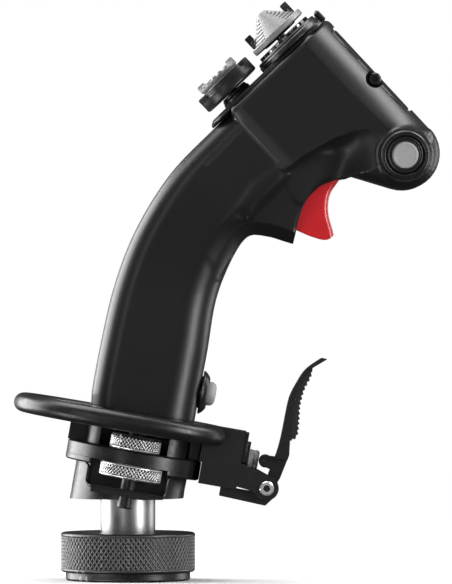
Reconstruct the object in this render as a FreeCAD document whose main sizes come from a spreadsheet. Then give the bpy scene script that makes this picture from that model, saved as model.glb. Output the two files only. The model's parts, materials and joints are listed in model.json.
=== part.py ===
import FreeCAD, Part
import math
import os
import re
import Sketcher
from FreeCAD import Placement, Rotation, Vector

# Flight joystick: a right-handed pilot's grip that screws onto a base through a knurled collar.
#
# Row frame, millimetres: the origin is the centre of the collar's lower face, +Z up the
# collar's axis, +X forward, the way the trigger faces, and +Y to the pilot's left.
# Two more frames are used. The grip frame leans forward on the collar: its Z runs up the
# grip. The face frame lies on the thumb face: its X runs up the face and its Z stands out.

SIZES = {
    # frames
    "grip_height": 36, "grip_lean": 10,
    "face_x": 68, "face_z": 212, "face_lean": -43.5,
    # clearances
    "running_gap": 0.08, "pin_gap": 0.06, "fit_gap": 0.05, "seat_gap": 0.05,
    # coupling
    "thread_radius": 17, "thread_length": 9,
    "nut_radius": 26.9, "nut_lip_radius": 24.9, "nut_lip_height": 3.4, "nut_height": 19.2,
    "nut_top_wall": 4, "nut_relief": 0.6, "nut_chamfer": 0.7,
    "shaft_radius": 10.9, "shaft_bore": 7.5, "shaft_foot": 14.2, "shaft_top": 39.5,
    "flange_radius": 16.6, "flange_thickness": 4.6, "boss_height": 7.8,
    "washer_thickness": 0.9, "plug_radius": 6.4, "plug_wall": 1.7, "plug_length": 7.4,
    "plug_floor": 2.4, "contact_radius": 0.5, "contact_circle": 2.8, "wire_radius": 2.5,
    # tilt housing and base flange
    "housing_radius": 22.4, "housing_foot": 32.8, "disc_radius": 27, "disc_level": 8.6,
    "disc_chamfer": 0.6, "flange_level": 10.8, "deck_level": 16.4, "wire_hole": 5,
    "window_back": -16.4, "window_front": 14.5, "window_depth": 12, "window_floor": 0.5,
    "pocket_radius": 13.2, "pocket_floor": 4.5,
    "ledge_half": 14.5, "ledge_edge": 25.6, "ledge_thickness": 2.7,
    "grub_radius": 2, "grub_end": 20.5, "screw_radius": 1.5, "screw_head_radius": 2.1,
    "screw_head_height": 2, "rim_screw_circle": 24.7,
    # palm rest height adjuster
    "adjuster_offset": 21, "stud_radius": 3.1, "stud_hole": 3.3, "stud_foot": -6.8,
    "stud_head_radius": 3.8, "stud_head_level": 23.2,
    "height_wheel_radius": 10.1, "height_wheel_top": 22.4,
    "lock_wheel_radius": 12.4, "lock_wheel_foot": 5.1, "wheel_chamfer": 0.5,
    # neck and posts
    "neck_back": -20.3, "neck_front": 21.2, "neck_half": 17, "neck_corner": 12,
    "neck_top": 31.3, "neck_recess_top": 24, "neck_recess_back": -14.5,
    "neck_recess_front": 13, "neck_recess_depth": 9.5, "spigot_inset": 3.2, "spigot_top": 44,
    "spigot_room_back": 6, "spigot_room_half": 8,
    "post_back": -27.2, "post_half": 7, "post_top": 23.8, "guide_pin_radius": 1.6,
    "guide_pin_top": 29, "guide_pin_x": -24.6, "spacer_front": 26, "spacer_half": 9,
    # palm rest
    "rest_center": -6.9, "rest_half_length": 40.4, "rest_half_width": 37,
    "rest_exponent": 2.6, "rim_radius": 3.74, "rim_level": 27.5,
    "web_foot": 25, "web_top": 29.5, "rest_gap_half": 14.5, "rest_gap_length": 60,
    "opening_back": -21.8, "opening_front": 22.1, "opening_half": 17.6, "opening_corner": 10.5,
    # shell
    "shell_wall": 2.5, "column_half": 17, "column_round": 12, "head_half": 23.5,
    "head_round": 9, "guard_half": 12, "guard_round": 4, "shell_foot": 31.5,
    "nose_x": 109.8, "nose_z": 170.4, "nose_radius": 14.5, "slot_half": 7,
    "boss_radius": 4, "shell_screw_radius": 1.45, "shell_screw_head": 2.7,
    "shell_screw_pocket": 3.6, "shell_screw_seat": 14,
    "rear_foot": -20.4, "front_foot": 21.4, "throat_back": -17.6, "throat_front": 18.4,
    "throat_half": 14, "throat_floor": 23.5, "throat_top": 43.5, "throat_corner": 8,
    # thumb face
    "plate_level": 0.8, "plate_top": 2.64, "plate_back": -46, "plate_front": 14.6,
    "plate_half": 21, "plate_corner": 7, "window_inset": 6,
    # hat switches
    "pivot_level": 4, "cavity_radius": 5.1, "cavity_roof": 5.2, "mouth_radius": 2.9,
    "base_top": 5.6, "base_radius": 6.4, "gimbal_inner": 2.6, "gimbal_outer": 3.7,
    "gimbal_half": 0.6, "gimbal_pin": 0.5, "gimbal_pin_end": 5.6, "stem_radius": 1.8,
    "stem_foot": 3.2, "stem_pin_end": 3.6,
    "base_chamfer": 0.4, "pedestal_radius": 15.2, "pedestal_top": 6, "detent_radius": 12.6,
    "detent_top": 7.5,
    "cone_foot": 9.3, "cone_disc_top": 11.8, "cone_disc_radius": 12.6, "cone_radius": 11.1,
    "cone_tip_radius": 2.1, "cone_tip": 20.8,
    "crown_foot": 11, "crown_neck_radius": 8, "crown_radius": 11.3, "crown_deck": 14,
    "crown_top": 18.2, "crown_prong": 4.4, "crown_rim": 3.2,
    "castle_foot": 6, "castle_hub": 6.6, "castle_radius": 12.9, "castle_wall": 3.4,
    "castle_floor": 8.4, "castle_top": 10.4, "castle_merlon_top": 12.4, "castle_merlon": 8,
    "grey_foot": 13, "grey_radius": 9.4, "grey_deck": 14.8, "grey_top": 17, "grey_prong": 3.3,
    # trigger
    "trigger_half": 6.5, "trigger_pivot_x": 80.8, "trigger_pivot_z": 166,
    "trigger_pin_radius": 1.5, "coil_inner": 2, "coil_outer": 2.8, "coil_length": 2.4,
    # little-finger button
    "pinky_level": 43.6, "pinky_flange_radius": 8.7, "pinky_face": 21.8, "pinky_crest": 24.8,
    "pinky_crest_radius": 5.6, "pinky_button_radius": 4.8, "pinky_button_end": 28,
    "pinky_spigot_radius": 6.4, "pinky_spigot_end": 17, "button_travel": 1.5,
    # nose button
    "nose_button_x": 110.2, "nose_button_z": 169.6, "nose_button_y": -23,
    "nose_bezel_radius": 9.8, "nose_bezel_bore": 7.7, "nose_collar_radius": 7.6,
    "nose_button_radius": 5.3, "nose_bezel_proud": 1.4, "nose_collar_proud": 0.6,
    "nose_button_proud": 1.6, "nose_depth": 5,
    # paddle
    "block_back": 26, "block_flange_back": 27.1, "block_front": 42.5, "block_foot": 8,
    "block_half": 13, "cheek_inner": 9.6, "cheek_outer": 12.8, "ear_inner": 6.4,
    "ear_outer": 9.5, "paddle_pivot_x": 54.4, "paddle_pivot_z": 10.6, "pivot_radius": 1.5,
    "pivot_head_radius": 2.9, "pivot_head_height": 1.2, "cheek_end_radius": 4.8,
    "ear_end_radius": 4.6, "lever_half": 6.3, "lever_eye_radius": 3.9, "blade_half": 10,
    "plunger_radius": 3.84, "plunger_level": 20.8, "plunger_back": 38, "plunger_end": 49.3,
    "plunger_bore_end": 29, "bezel_step": 1.4, "bezel_half": 9, "bezel_drop": 1.8,
    "bezel_lower_height": 12, "bezel_upper_height": 8.4, "bezel_upper_inset": 2,
    "bezel_sleeve_radius": 5.6, "roller_x": 52, "roller_z": 21, "roller_radius": 2.6,
    "roller_half": 4, "roller_pin_radius": 0.9, "roller_room": 0.4, "lug_radius": 2.2,
    "lever_waist": 23, "bracket_back": 36.2, "bracket_floor": 6, "bracket_gap_back": 43.5,
    # electronics
    "switch_length": 12.8, "switch_height": 6.5, "switch_width": 5.8, "switch_nub": 0.6,
    "nub_radius": 0.8, "trigger_switch_x": 59.4, "trigger_switch_z": 153.5,
    "board_thickness": 1.6, "board_foot": 55, "board_top": 88, "board_back": -6,
    "board_front": 15,
    "hat_board_level": -6, "hat_board_half": 15,
}

DOC = FreeCAD.newDocument("flight_joystick")
SHEET = DOC.addObject("Spreadsheet::Sheet", "sizes")
for row, (alias, size) in enumerate(SIZES.items(), start=1):
    SHEET.set(f"A{row}", alias)
    SHEET.set(f"B{row}", str(size))
    SHEET.setAlias(f"B{row}", alias)
DOC.recompute()
READER = DOC.addObject("App::FeaturePython", "reader")

PARTS = {}


# ---- reading the sheet -------------------------------------------------------------------

def bound(text):
    """Turns 'shaft_radius + 1' into 'sizes.shaft_radius + 1' for the expression engine."""
    return re.sub(r"[a-z_]+", lambda word: "sizes." + word.group(), str(text))


def value(text):
    """The number that an expression over the sheet's aliases gives."""
    return float(READER.evalExpression(bound(text)))


def at(x, y=0, z=0, turn=None):
    return Placement(Vector(value(x), value(y), value(z)), turn or Rotation())


UPRIGHT = Placement()
GRIP = at(0, 0, "grip_height", Rotation(Vector(0, 1, 0), value("grip_lean")))
FACE = at("face_x", 0, "face_z", Rotation(Vector(0, 1, 0), value("face_lean")))
ALONG_X = Rotation(Vector(0, 1, 0), 90)
ALONG_Y = Rotation(Vector(1, 0, 0), -90)
ADJUSTER = GRIP * at(0, "-adjuster_offset")


# ---- building blocks ---------------------------------------------------------------------

def keep(node, shape_object, place=UPRIGHT):
    """Registers a finished sub-part under its node name, at its place."""
    shape_object.Label = node
    shape_object.Placement = place * shape_object.Placement
    PARTS[node] = shape_object
    return shape_object


def drawn(body, plane, outline):
    """A closed sketch through the outline's points, each pinned to the sheet."""
    sketch = body.newObject("Sketcher::SketchObject", body.Name + "_outline")
    base = [item for item in body.Origin.OriginFeatures if item.Role == plane][0]
    sketch.AttachmentSupport = [(base, "")]
    sketch.MapMode = "FlatFace"
    points = [Vector(value(x), value(y), 0) for x, y in outline]
    for index, start in enumerate(points):
        sketch.addGeometry(Part.LineSegment(start, points[(index + 1) % len(points)]))
    for index in range(len(points)):
        following = (index + 1) % len(points)
        sketch.addConstraint(Sketcher.Constraint("Coincident", index, 2, following, 1))
    for index, (start, names) in enumerate(zip(points, outline)):
        for kind, number, text in (("DistanceX", start.x, names[0]),
                                   ("DistanceY", start.y, names[1])):
            link = sketch.addConstraint(Sketcher.Constraint(kind, -1, 1, index, 1, number))
            if re.search("[a-z]", str(text)):
                sketch.setExpression(f"Constraints[{link}]", bound(text))
    return sketch


def turned(name, outline):
    """A round piece: an outline of (radius, height) points turned about its own Z."""
    body = DOC.addObject("PartDesign::Body", name)
    sketch = drawn(body, "XZ_Plane", outline)
    turn = body.newObject("PartDesign::Revolution", name + "_turn")
    turn.Profile = sketch
    turn.ReferenceAxis = (sketch, ["V_Axis"])
    turn.Angle = 360
    sketch.Visibility = False
    return body


def plate(name, outline, width, plane="XZ_Plane"):
    """A flat piece: side outlines (x, z) are thick both ways, plans (x, y) upwards only."""
    body = DOC.addObject("PartDesign::Body", name)
    sketch = drawn(body, plane, outline)
    pad = body.newObject("PartDesign::Pad", name + "_pad")
    pad.Profile = sketch
    pad.Midplane = plane == "XZ_Plane"
    pad.setExpression("Length", bound(width))
    sketch.Visibility = False
    return body


def softened(body, radius, chosen):
    """Rounds the edges of a body that the test picks."""
    DOC.recompute()
    sharp = body.Tip
    names = [f"Edge{number}" for number, edge in enumerate(sharp.Shape.Edges, start=1)
             if chosen(edge)]
    fillet = body.newObject("PartDesign::Fillet", body.Name + "_round")
    fillet.Base = (sharp, names)
    fillet.setExpression("Radius", bound(radius))
    return body


def upright(edge):
    box = edge.BoundBox
    return box.ZLength > 0.5 and box.XLength < 0.001 and box.YLength < 0.001


def block(name, low, high):
    """A box between two corners."""
    box = DOC.addObject("Part::Box", name)
    for side, first, last in zip(("Length", "Width", "Height"), low, high):
        box.setExpression(side, bound(f"({last}) - ({first})"))
    box.Placement = at(*low)
    return box


def rod(name, radius, start, length, turn=None):
    """A cylinder from a start point along Z, or along the turned axis."""
    cylinder = DOC.addObject("Part::Cylinder", name)
    cylinder.setExpression("Radius", bound(radius))
    cylinder.setExpression("Height", bound(length))
    cylinder.Placement = at(*start, turn)
    return cylinder


def moved(shape_object, place):
    shape_object.Placement = place * shape_object.Placement
    return shape_object


def joined(name, pieces):
    fuse = DOC.addObject("Part::MultiFuse", name)
    fuse.Shapes = pieces
    return fuse


def grouped(name, pieces):
    group = DOC.addObject("Part::Compound", name)
    group.Links = pieces
    return group


def cut(name, blank, tools):
    result = DOC.addObject("Part::Cut", name)
    result.Base = blank
    result.Tool = tools[0] if len(tools) == 1 else joined(name + "_tools", tools)
    return result


def solid(name, shape):
    """A piece that is too free-formed for a sketch: its finished shape is set here."""
    feature = DOC.addObject("Part::Feature", name)
    feature.Shape = shape
    return feature


def ring(inner, outer, foot, top):
    return [(inner, foot), (outer, foot), (outer, top), (inner, top)]


# ---- coupling ----------------------------------------------------------------------------

def make_coupling():
    flange_foot = "(shaft_foot - flange_thickness)"
    ceiling = "(nut_height - nut_top_wall)"
    keep("coupling_nut", turned("nut", [
        ("thread_radius", 0),
        ("nut_lip_radius - nut_chamfer", 0),
        ("nut_lip_radius", "nut_chamfer"),
        ("nut_lip_radius", "nut_lip_height"),
        ("nut_radius - nut_chamfer", "nut_lip_height"),
        ("nut_radius", "nut_lip_height + nut_chamfer"),
        ("nut_radius", "nut_height - nut_chamfer"),
        ("nut_radius - nut_chamfer", "nut_height"),
        ("shaft_radius + running_gap", "nut_height"),
        ("shaft_radius + running_gap", ceiling),
        ("thread_radius + nut_relief", ceiling),
        ("thread_radius + nut_relief", "thread_length"),
        ("thread_radius", "thread_length"),
    ]))
    keep("connector_flange", turned("flange", [
        ("plug_radius + fit_gap", flange_foot),
        ("flange_radius", flange_foot),
        ("flange_radius", "shaft_foot"),
        ("shaft_bore - fit_gap", "shaft_foot"),
        ("shaft_bore - fit_gap", "shaft_foot + boss_height"),
        ("plug_radius + fit_gap", "shaft_foot + boss_height"),
    ]))
    keep("thrust_washer", turned("washer", ring(
        "shaft_radius + 2 * fit_gap", "flange_radius - 0.2",
        "shaft_foot", "shaft_foot + washer_thickness")))
    plug_top = flange_foot + " + plug_length"
    keep("plug_insert", turned("insert", [
        (0, plug_top + " - plug_floor"),
        ("plug_radius - plug_wall", plug_top + " - plug_floor"),
        ("plug_radius - plug_wall", flange_foot),
        ("plug_radius", flange_foot),
        ("plug_radius", plug_top),
        (0, plug_top),
    ]))
    pins = []
    for number in range(5):
        angle = math.radians(72 * number)
        pins.append(rod(f"contact_{number}", "contact_radius",
                        (f"contact_circle * {math.cos(angle):.6f}",
                         f"contact_circle * {math.sin(angle):.6f}",
                         flange_foot + " + 0.6"),
                        "plug_length - plug_floor - 0.6"))
    keep("plug_pins", grouped("contacts", pins))
    keep("extension_shaft", turned("shaft", [
        ("shaft_bore", "shaft_foot"),
        ("shaft_radius", "shaft_foot"),
        ("shaft_radius", "shaft_top - 0.5"),
        ("shaft_radius - 0.5", "shaft_top"),
        ("shaft_bore", "shaft_top"),
    ]))


# ---- tilt housing, base flange, neck -----------------------------------------------------

GRUB_HEADINGS = (0, 90, 180)
RIM_SCREW_HEADINGS = (40, 90, 140)


def on_circle(radius, heading):
    angle = math.radians(heading)
    return f"{radius} * {math.cos(angle):.6f}", f"{radius} * {math.sin(angle):.6f}"


def make_tilt_housing():
    body = turned("housing_body", [
        (0, "-housing_radius / 2"),
        ("housing_radius", "-housing_radius / 2"),
        ("housing_radius", "disc_level"),
        ("disc_radius - disc_chamfer", "disc_level"),
        ("disc_radius", "disc_level + disc_chamfer"),
        ("disc_radius", "flange_level"),
        (0, "flange_level"),
    ])
    ledge = block("housing_ledge", ("-ledge_half", "-ledge_edge", "window_floor - ledge_thickness"),
                  ("ledge_half", "-window_depth", "window_floor"))
    to_grip = GRIP.inverse()
    below = moved(block("below_housing", ("-disc_radius * 2", "-disc_radius * 2", 0),
                        ("disc_radius * 2", "disc_radius * 2", "housing_foot")), to_grip)
    shaft_socket = moved(rod("shaft_socket", "shaft_radius + fit_gap", (0, 0, "housing_foot - 5"),
                             "shaft_top - housing_foot + 5"), to_grip)
    window = block("housing_window", ("window_back", "-disc_radius * 2", "window_floor"),
                   ("window_front", "-window_depth", "flange_level + 5"))
    pocket = rod("wheel_pocket", "pocket_radius", (0, "-adjuster_offset", "pocket_floor"),
                 "flange_level")
    stud_way = rod("housing_stud_way", "stud_hole", (0, "-adjuster_offset", "-housing_radius"),
                   "2 * housing_radius")
    wire_way = rod("housing_wire_way", "wire_hole", (0, 0, 0), "disc_radius")
    grub_holes = []
    for heading in GRUB_HEADINGS:
        turn = Rotation(Vector(0, 0, 1), heading) * ALONG_X
        grub_holes.append(moved(rod(f"grub_hole_{heading}", "grub_radius + fit_gap",
                                    (0, 0, "grip_height"), "disc_radius", turn), to_grip))
    screw_holes = []
    for heading in RIM_SCREW_HEADINGS:
        x, y = on_circle("rim_screw_circle", heading)
        screw_holes.append(rod(f"rim_hole_{heading}", "screw_radius + fit_gap",
                               (x, y, "disc_level - 1"), "disc_level"))
    tools = [below, shaft_socket, window, pocket, stud_way, wire_way] + grub_holes + screw_holes
    keep("tilt_housing", cut("housing", joined("housing_blank", [body, ledge]), tools), GRIP)

    grubs = []
    for heading in GRUB_HEADINGS:
        x, y = on_circle("(shaft_radius + fit_gap)", heading)
        turn = Rotation(Vector(0, 0, 1), heading) * ALONG_X
        grubs.append(rod(f"grub_{heading}", "grub_radius", (x, y, "grip_height"),
                         "grub_end - shaft_radius - fit_gap", turn))
    keep("set_screws", grouped("grubs", grubs))


def make_base_flange():
    disc = turned("deck_disc", [
        ("wire_hole", "flange_level"),
        ("disc_radius", "flange_level"),
        ("disc_radius", "deck_level - disc_chamfer"),
        ("disc_radius - disc_chamfer", "deck_level"),
        ("wire_hole", "deck_level"),
    ])
    tools = [rod("deck_stud_way", "stud_hole", (0, "-adjuster_offset", 0), "disc_radius")]
    screws = []
    for heading in RIM_SCREW_HEADINGS:
        x, y = on_circle("rim_screw_circle", heading)
        tools.append(rod(f"deck_hole_{heading}", "screw_radius + fit_gap", (x, y, 0),
                         "deck_level - 2 + fit_gap"))
        shank = rod(f"rim_shank_{heading}", "screw_radius", (x, y, "disc_level - 0.5"),
                    "deck_level - disc_level - 1.5")
        head = rod(f"rim_head_{heading}", "screw_head_radius",
                   (x, y, "disc_level - screw_head_height"), "screw_head_height")
        screws.append(joined(f"rim_screw_{heading}", [shank, head]))
    keep("base_flange", cut("deck", disc, tools), GRIP)
    keep("flange_screws", grouped("rim_screws", screws), GRIP)


def make_neck():
    walls = softened(plate("neck_walls", [
        ("neck_back", "-neck_half"), ("neck_front", "-neck_half"),
        ("neck_front", "neck_half"), ("neck_back", "neck_half"),
    ], "neck_top - deck_level", "XY_Plane"), "neck_corner", upright)
    walls.Placement = at(0, 0, "deck_level")
    inset = "spigot_inset"
    spigot = softened(plate("neck_spigot", [
        (f"neck_back + {inset}", f"{inset} - neck_half"),
        (f"neck_front - {inset}", f"{inset} - neck_half"),
        (f"neck_front - {inset}", f"neck_half - {inset}"),
        (f"neck_back + {inset}", f"neck_half - {inset}"),
    ], "spigot_top - neck_top + 1", "XY_Plane"), f"neck_corner - {inset}", upright)
    spigot.Placement = at(0, 0, "neck_top - 1")
    recess = block("neck_recess", ("neck_recess_back", "-neck_half * 2", "deck_level - 1"),
                   ("neck_recess_front", "-neck_recess_depth", "neck_recess_top"))
    wire_way = rod("neck_wire_way", "wire_hole", (0, 0, 0), "spigot_top * 2")
    switch_room = block("pinky_room", ("spigot_room_back", "-spigot_room_half", "neck_top + 1"),
                        ("neck_front", "spigot_room_half", "spigot_top + 1"))
    keep("grip_neck", cut("neck", joined("neck_blank", [walls, spigot]),
                          [recess, wire_way, switch_room]), GRIP)

    post = block("rear_post_block", ("post_back", "-post_half", "deck_level"),
                 ("neck_back", "post_half", "post_top"))
    guide = rod("guide_pin", "guide_pin_radius", ("guide_pin_x", 0, "post_top - 1"),
                "guide_pin_top - post_top + 1")
    keep("rear_guide_post", joined("rear_post", [post, guide]), GRIP)
    keep("front_spacer", softened(plate("front_block", [
        ("neck_front", "-spacer_half"), ("spacer_front", "-spacer_half"),
        ("spacer_front", "spacer_half"), ("neck_front", "spacer_half"),
    ], "neck_recess_top - deck_level", "XY_Plane"), 0.8, upright),
        GRIP * at(0, 0, "deck_level"))


# ---- palm rest and its height adjuster ---------------------------------------------------

def wheel(node, name, radius, foot, top):
    keep(node, turned(name, [
        ("stud_radius + running_gap / 2", foot),
        (f"{radius} - wheel_chamfer", foot),
        (radius, f"{foot} + wheel_chamfer"),
        (radius, f"{top} - wheel_chamfer"),
        (f"{radius} - wheel_chamfer", top),
        ("stud_radius + running_gap / 2", top),
    ]), ADJUSTER)


def make_adjuster():
    wheel("height_wheel", "upper_wheel", "height_wheel_radius",
          "deck_level + seat_gap", "height_wheel_top")
    wheel("lock_wheel", "lower_wheel", "lock_wheel_radius",
          "lock_wheel_foot", "flange_level - seat_gap")
    keep("height_stud", turned("stud", [
        (0, "stud_foot"),
        ("stud_radius - 0.4", "stud_foot"),
        ("stud_radius", "stud_foot + 0.4"),
        ("stud_radius", "stud_head_level"),
        ("stud_head_radius", "stud_head_level"),
        ("stud_head_radius", "web_foot"),
        (0, "web_foot"),
    ]), ADJUSTER)


def rest_point(angle, grow=0.0):
    """A point of the palm rest's oval, a superellipse, moved outwards by grow."""
    power = 2 / value("rest_exponent")
    across, along = math.sin(angle), math.cos(angle)
    x = (value("rest_half_length") + grow) * math.copysign(abs(along) ** power, along)
    y = (value("rest_half_width") + grow) * math.copysign(abs(across) ** power, across)
    return Vector(value("rest_center") + x, y, 0)


def make_palm_rest():
    gap = value("rest_gap_half")
    rim_radius = value("rim_radius")
    level = Vector(0, 0, value("rim_level"))
    # the rim stops either side of the paddle housing, one rim radius short of the gap
    half = math.asin(((gap + rim_radius) / value("rest_half_width")) ** (value("rest_exponent") / 2))
    steps = 48
    angles = [half + (2 * math.pi - 2 * half) * step / steps for step in range(steps + 1)]
    path_points = [rest_point(angle) + level for angle in angles]
    curve = Part.BSplineCurve()
    curve.interpolate(path_points)
    path = Part.Wire([curve.toShape()])
    start_way = curve.tangent(curve.FirstParameter)[0]
    hoop = Part.Wire([Part.makeCircle(rim_radius, path_points[0], start_way)])
    rim = path.makePipeShell([hoop], True, True)
    ends = [Part.makeSphere(rim_radius, path_points[0]), Part.makeSphere(rim_radius, path_points[-1])]

    foot = Vector(0, 0, value("web_foot"))
    oval = Part.BSplineCurve()
    oval.interpolate([rest_point(2 * math.pi * step / 64) + foot for step in range(64)],
                     PeriodicFlag=True)
    web = Part.Face(Part.Wire([oval.toShape()])).extrude(
        Vector(0, 0, value("web_top - web_foot")))

    # an opening round the neck, and a mouth in front of it for the paddle housing
    back, front = value("opening_back"), value("opening_front")
    half_width = value("opening_half")
    tall = value("rim_radius") * 4
    opening = Part.makeBox(front - back, 2 * half_width, tall,
                           Vector(back, -half_width, value("web_foot") - tall / 3))
    corners = [edge for edge in opening.Edges if upright(edge)]
    opening = opening.makeFillet(value("opening_corner"), corners)
    mouth = Part.makeBox(value("rest_gap_length"), 2 * gap, tall,
                         Vector(0, -gap, value("web_foot") - tall / 3))
    guide_hole = Part.makeCylinder(value("guide_pin_radius + pin_gap"), tall,
                                   Vector(value("guide_pin_x"), 0, value("web_foot") - 1))
    rest = rim.fuse(ends + [web]).cut([opening, mouth, guide_hole]).removeSplitter()
    keep("palm_rest", solid("rest", rest), GRIP)


# ---- shell -------------------------------------------------------------------------------

def spline(points):
    curve = Part.BSplineCurve()
    curve.interpolate([Vector(x, 0, z) for x, z in points])
    return curve.toShape()


def line(start, end):
    return Part.makeLine(Vector(start[0], 0, start[1]), Vector(end[0], 0, end[1]))


def chain(points):
    return [line(start, end) for start, end in zip(points, points[1:])]


def side_shape(edges, low, high):
    """A side outline made thick from one Y to another."""
    outline = Part.Wire(Part.__sortEdges__(edges))
    return Part.Face(outline).translated(Vector(0, low, 0)).extrude(Vector(0, high - low, 0))


def on_face(up, out):
    """Row x and z of a point given up the thumb face and out of it."""
    spot = FACE.multVec(Vector(up, 0, out))
    return spot.x, spot.z


def in_grip(along, height):
    """Row x and z of a point of the grip frame."""
    spot = GRIP.multVec(Vector(along, 0, height))
    return spot.x, spot.z


def slab(edges, half, rounding, inset, soft=None):
    """A side outline made thick both ways, its rims rounded: all, or those along soft."""
    outline = Part.Wire(Part.__sortEdges__(edges))
    if inset:
        outline = redrawn(outline.makeOffset2D(-inset, 0))
    depth = half - inset
    body = Part.Face(outline).translated(Vector(0, -depth, 0)).extrude(Vector(0, 2 * depth, 0))
    rims = [edge for edge in body.Edges if edge.BoundBox.YLength < 0.001]
    if soft:
        rims = [edge for edge in rims if beside(edge, soft, inset)]
    return body.makeFillet(rounding - inset, rims)


def redrawn(outline):
    """The same outline, with its offset curves replaced by splines that STEP can carry."""
    edges = []
    for edge in outline.OrderedEdges:
        if isinstance(edge.Curve, (Part.Line, Part.Circle)):
            edges.append(edge)
            continue
        curve = Part.BSplineCurve()
        curve.interpolate(edge.discretize(8))
        edges.append(curve.toShape())
    return Part.Wire(Part.__sortEdges__(edges))


def beside(edge, trail, inset):
    """True for an edge that runs along the trail, seen from the side."""
    middle = edge.valueAt((edge.FirstParameter + edge.LastParameter) / 2)
    return Part.Vertex(middle.x, 0, middle.z).distToShape(trail)[0] < inset + 0.05


def column_edges():
    level = value("shell_foot")
    rear_foot = in_grip(value("rear_foot"), level)
    front_foot = in_grip(value("front_foot"), level)
    rear = [rear_foot, (-14.0, 77.6), (-10.6, 95.6), (-6.0, 115.6), (0.8, 134.8), (10.0, 152.0),
            (20.8, 166.8), on_face(-46, 0.4)]
    front = [front_foot, (29.2, 78.0), (31.9, 92.4), (34.5, 108.8), (37.8, 120.0), (43.0, 131.5),
             (52.0, 143.0)]
    top = [on_face(-46, 0.4), on_face(-20, -3), (80.0, 172.0), (52.0, 143.0)]
    return [spline(rear), spline(front), line(rear_foot, front_foot)] + chain(top)


def touching(center, radius, point, side):
    """Heading of the spot where a line from the point touches the circle."""
    away = math.atan2(point[1] - center[1], point[0] - center[0])
    reach = math.hypot(point[0] - center[0], point[1] - center[1])
    return away + side * math.acos(radius / reach)


def head_edges():
    nose = (value("nose_x"), value("nose_z"))
    radius = value("nose_radius")
    low = on_face(-46, value("plate_level"))
    top = on_face(16.8, value("plate_level"))
    chin = (89.5, 161.4)

    def around(heading):
        return nose[0] + radius * math.cos(heading), nose[1] + radius * math.sin(heading)

    first = touching(nose, radius, top, -1)
    last = touching(nose, radius, chin, 1)
    start, middle, end = around(first), around((first + last) / 2), around(last)
    arc = Part.Arc(*[Vector(x, 0, z) for x, z in (start, middle, end)]).toShape()
    inside = [chin, (80.0, 168.0), (63.0, 163.0), (52.0, 174.0), low, top]
    return [line(top, start), arc, line(end, chin)] + chain(inside)


def guard_edges():
    arc = Part.Arc(Vector(67.6, 0, 140.8), Vector(73.2, 0, 154.6), Vector(86.8, 0, 161.2)).toShape()
    lip = [(38.0, 121.0), (41.8, 129.6), (45.8, 135.4), (49.8, 138.0), (56.8, 137.2), (62.0, 135.6),
           (66.0, 134.4)]
    inside = [(86.8, 161.2), (94.0, 172.0), (56.0, 176.0), (28.0, 140.0), (38.0, 121.0)]
    return spline(lip), [arc, line((66.0, 134.4), (67.6, 140.8))] + chain(inside)


def skin(inset):
    """The grip's outer form, or its hollow when it is inset by the wall."""
    column = slab(column_edges(), value("column_half"), value("column_round"), inset)
    head = slab(head_edges(), value("head_half"), value("head_round"), inset)
    lip, rest = guard_edges()
    guard = slab([lip] + rest, value("guard_half"), value("guard_round"), inset, lip)
    return column.fuse([head, guard]).removeSplitter()


# the opening in the guard and the head's floor that the trigger swings in
TRIGGER_SLOT = [(60.5, 137.4), (72.0, 137.4), (84.0, 150.0), (90.0, 159.0), (88.0, 168.0),
                (70.0, 168.0), (60.5, 150.0), (60.5, 137.4)]
# where each screw that joins the halves stands, and the side it is driven from: -1 is the right
SHELL_SCREWS = {"front": (98.4, 200.0, -1), "rear": (-1.0, 93.0, 1), "middle": (20.0, 135.0, 1)}


def make_shell():
    outer = skin(0)
    inner = skin(value("shell_wall"))
    throat = Part.makeBox(value("throat_front - throat_back"), 2 * value("throat_half"),
                          value("throat_top - throat_floor"),
                          Vector(value("throat_back"), -value("throat_half"), value("throat_floor")))
    throat = throat.makeFillet(value("throat_corner"), [edge for edge in throat.Edges if upright(edge)])
    throat.Placement = GRIP

    bosses = []
    holes = []
    reach = value("head_half")
    seat = value("shell_screw_seat")
    for x, z, side in SHELL_SCREWS.values():
        boss = Part.makeCylinder(value("boss_radius"), 2 * reach, Vector(x, -reach, z), Vector(0, 1, 0))
        bosses.append(boss.common(outer))
        holes.append(Part.makeCylinder(value("shell_screw_radius + fit_gap"), 2 * reach,
                                       Vector(x, side * (seat + 1), z), Vector(0, -side, 0)))
        holes.append(Part.makeCylinder(value("shell_screw_pocket"), reach,
                                       Vector(x, side * seat, z), Vector(0, side, 0)))
    slot_half = value("slot_half")
    slot = side_shape(chain(TRIGGER_SLOT), -slot_half, slot_half)
    inset = value("window_inset")
    window = Part.makeBox(value("plate_front - plate_back") - 2 * inset,
                          2 * (value("plate_half") - inset), 8,
                          Vector(value("plate_back") + inset, -value("plate_half") + inset, -5))
    window.Placement = FACE
    pinky_hole = Part.makeCylinder(value("pinky_spigot_radius + fit_gap"), 12,
                                   Vector(16, 0, value("pinky_level")), Vector(1, 0, 0))
    pinky_hole.Placement = GRIP
    nose_hole = Part.makeCylinder(value("nose_bezel_radius + fit_gap"), 20, Vector(0, 0, -10))
    nose_hole.Placement = NOSE
    shell = outer.cut(inner).fuse(bosses)
    shell = shell.cut([throat, slot, window, pinky_hole, nose_hole] + holes)
    side = Part.makeBox(300, 100, 300, Vector(-60, -100, 0))
    keep("grip_shell_right", solid("shell_right", shell.common(side).removeSplitter()))
    keep("grip_shell_left", solid("shell_left", shell.cut(side).removeSplitter()))


NOSE = at("nose_button_x", "nose_button_y", "nose_button_z",
          Rotation(Vector(0, 0, 1), Vector(0.124, -0.985, -0.124)))


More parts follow.
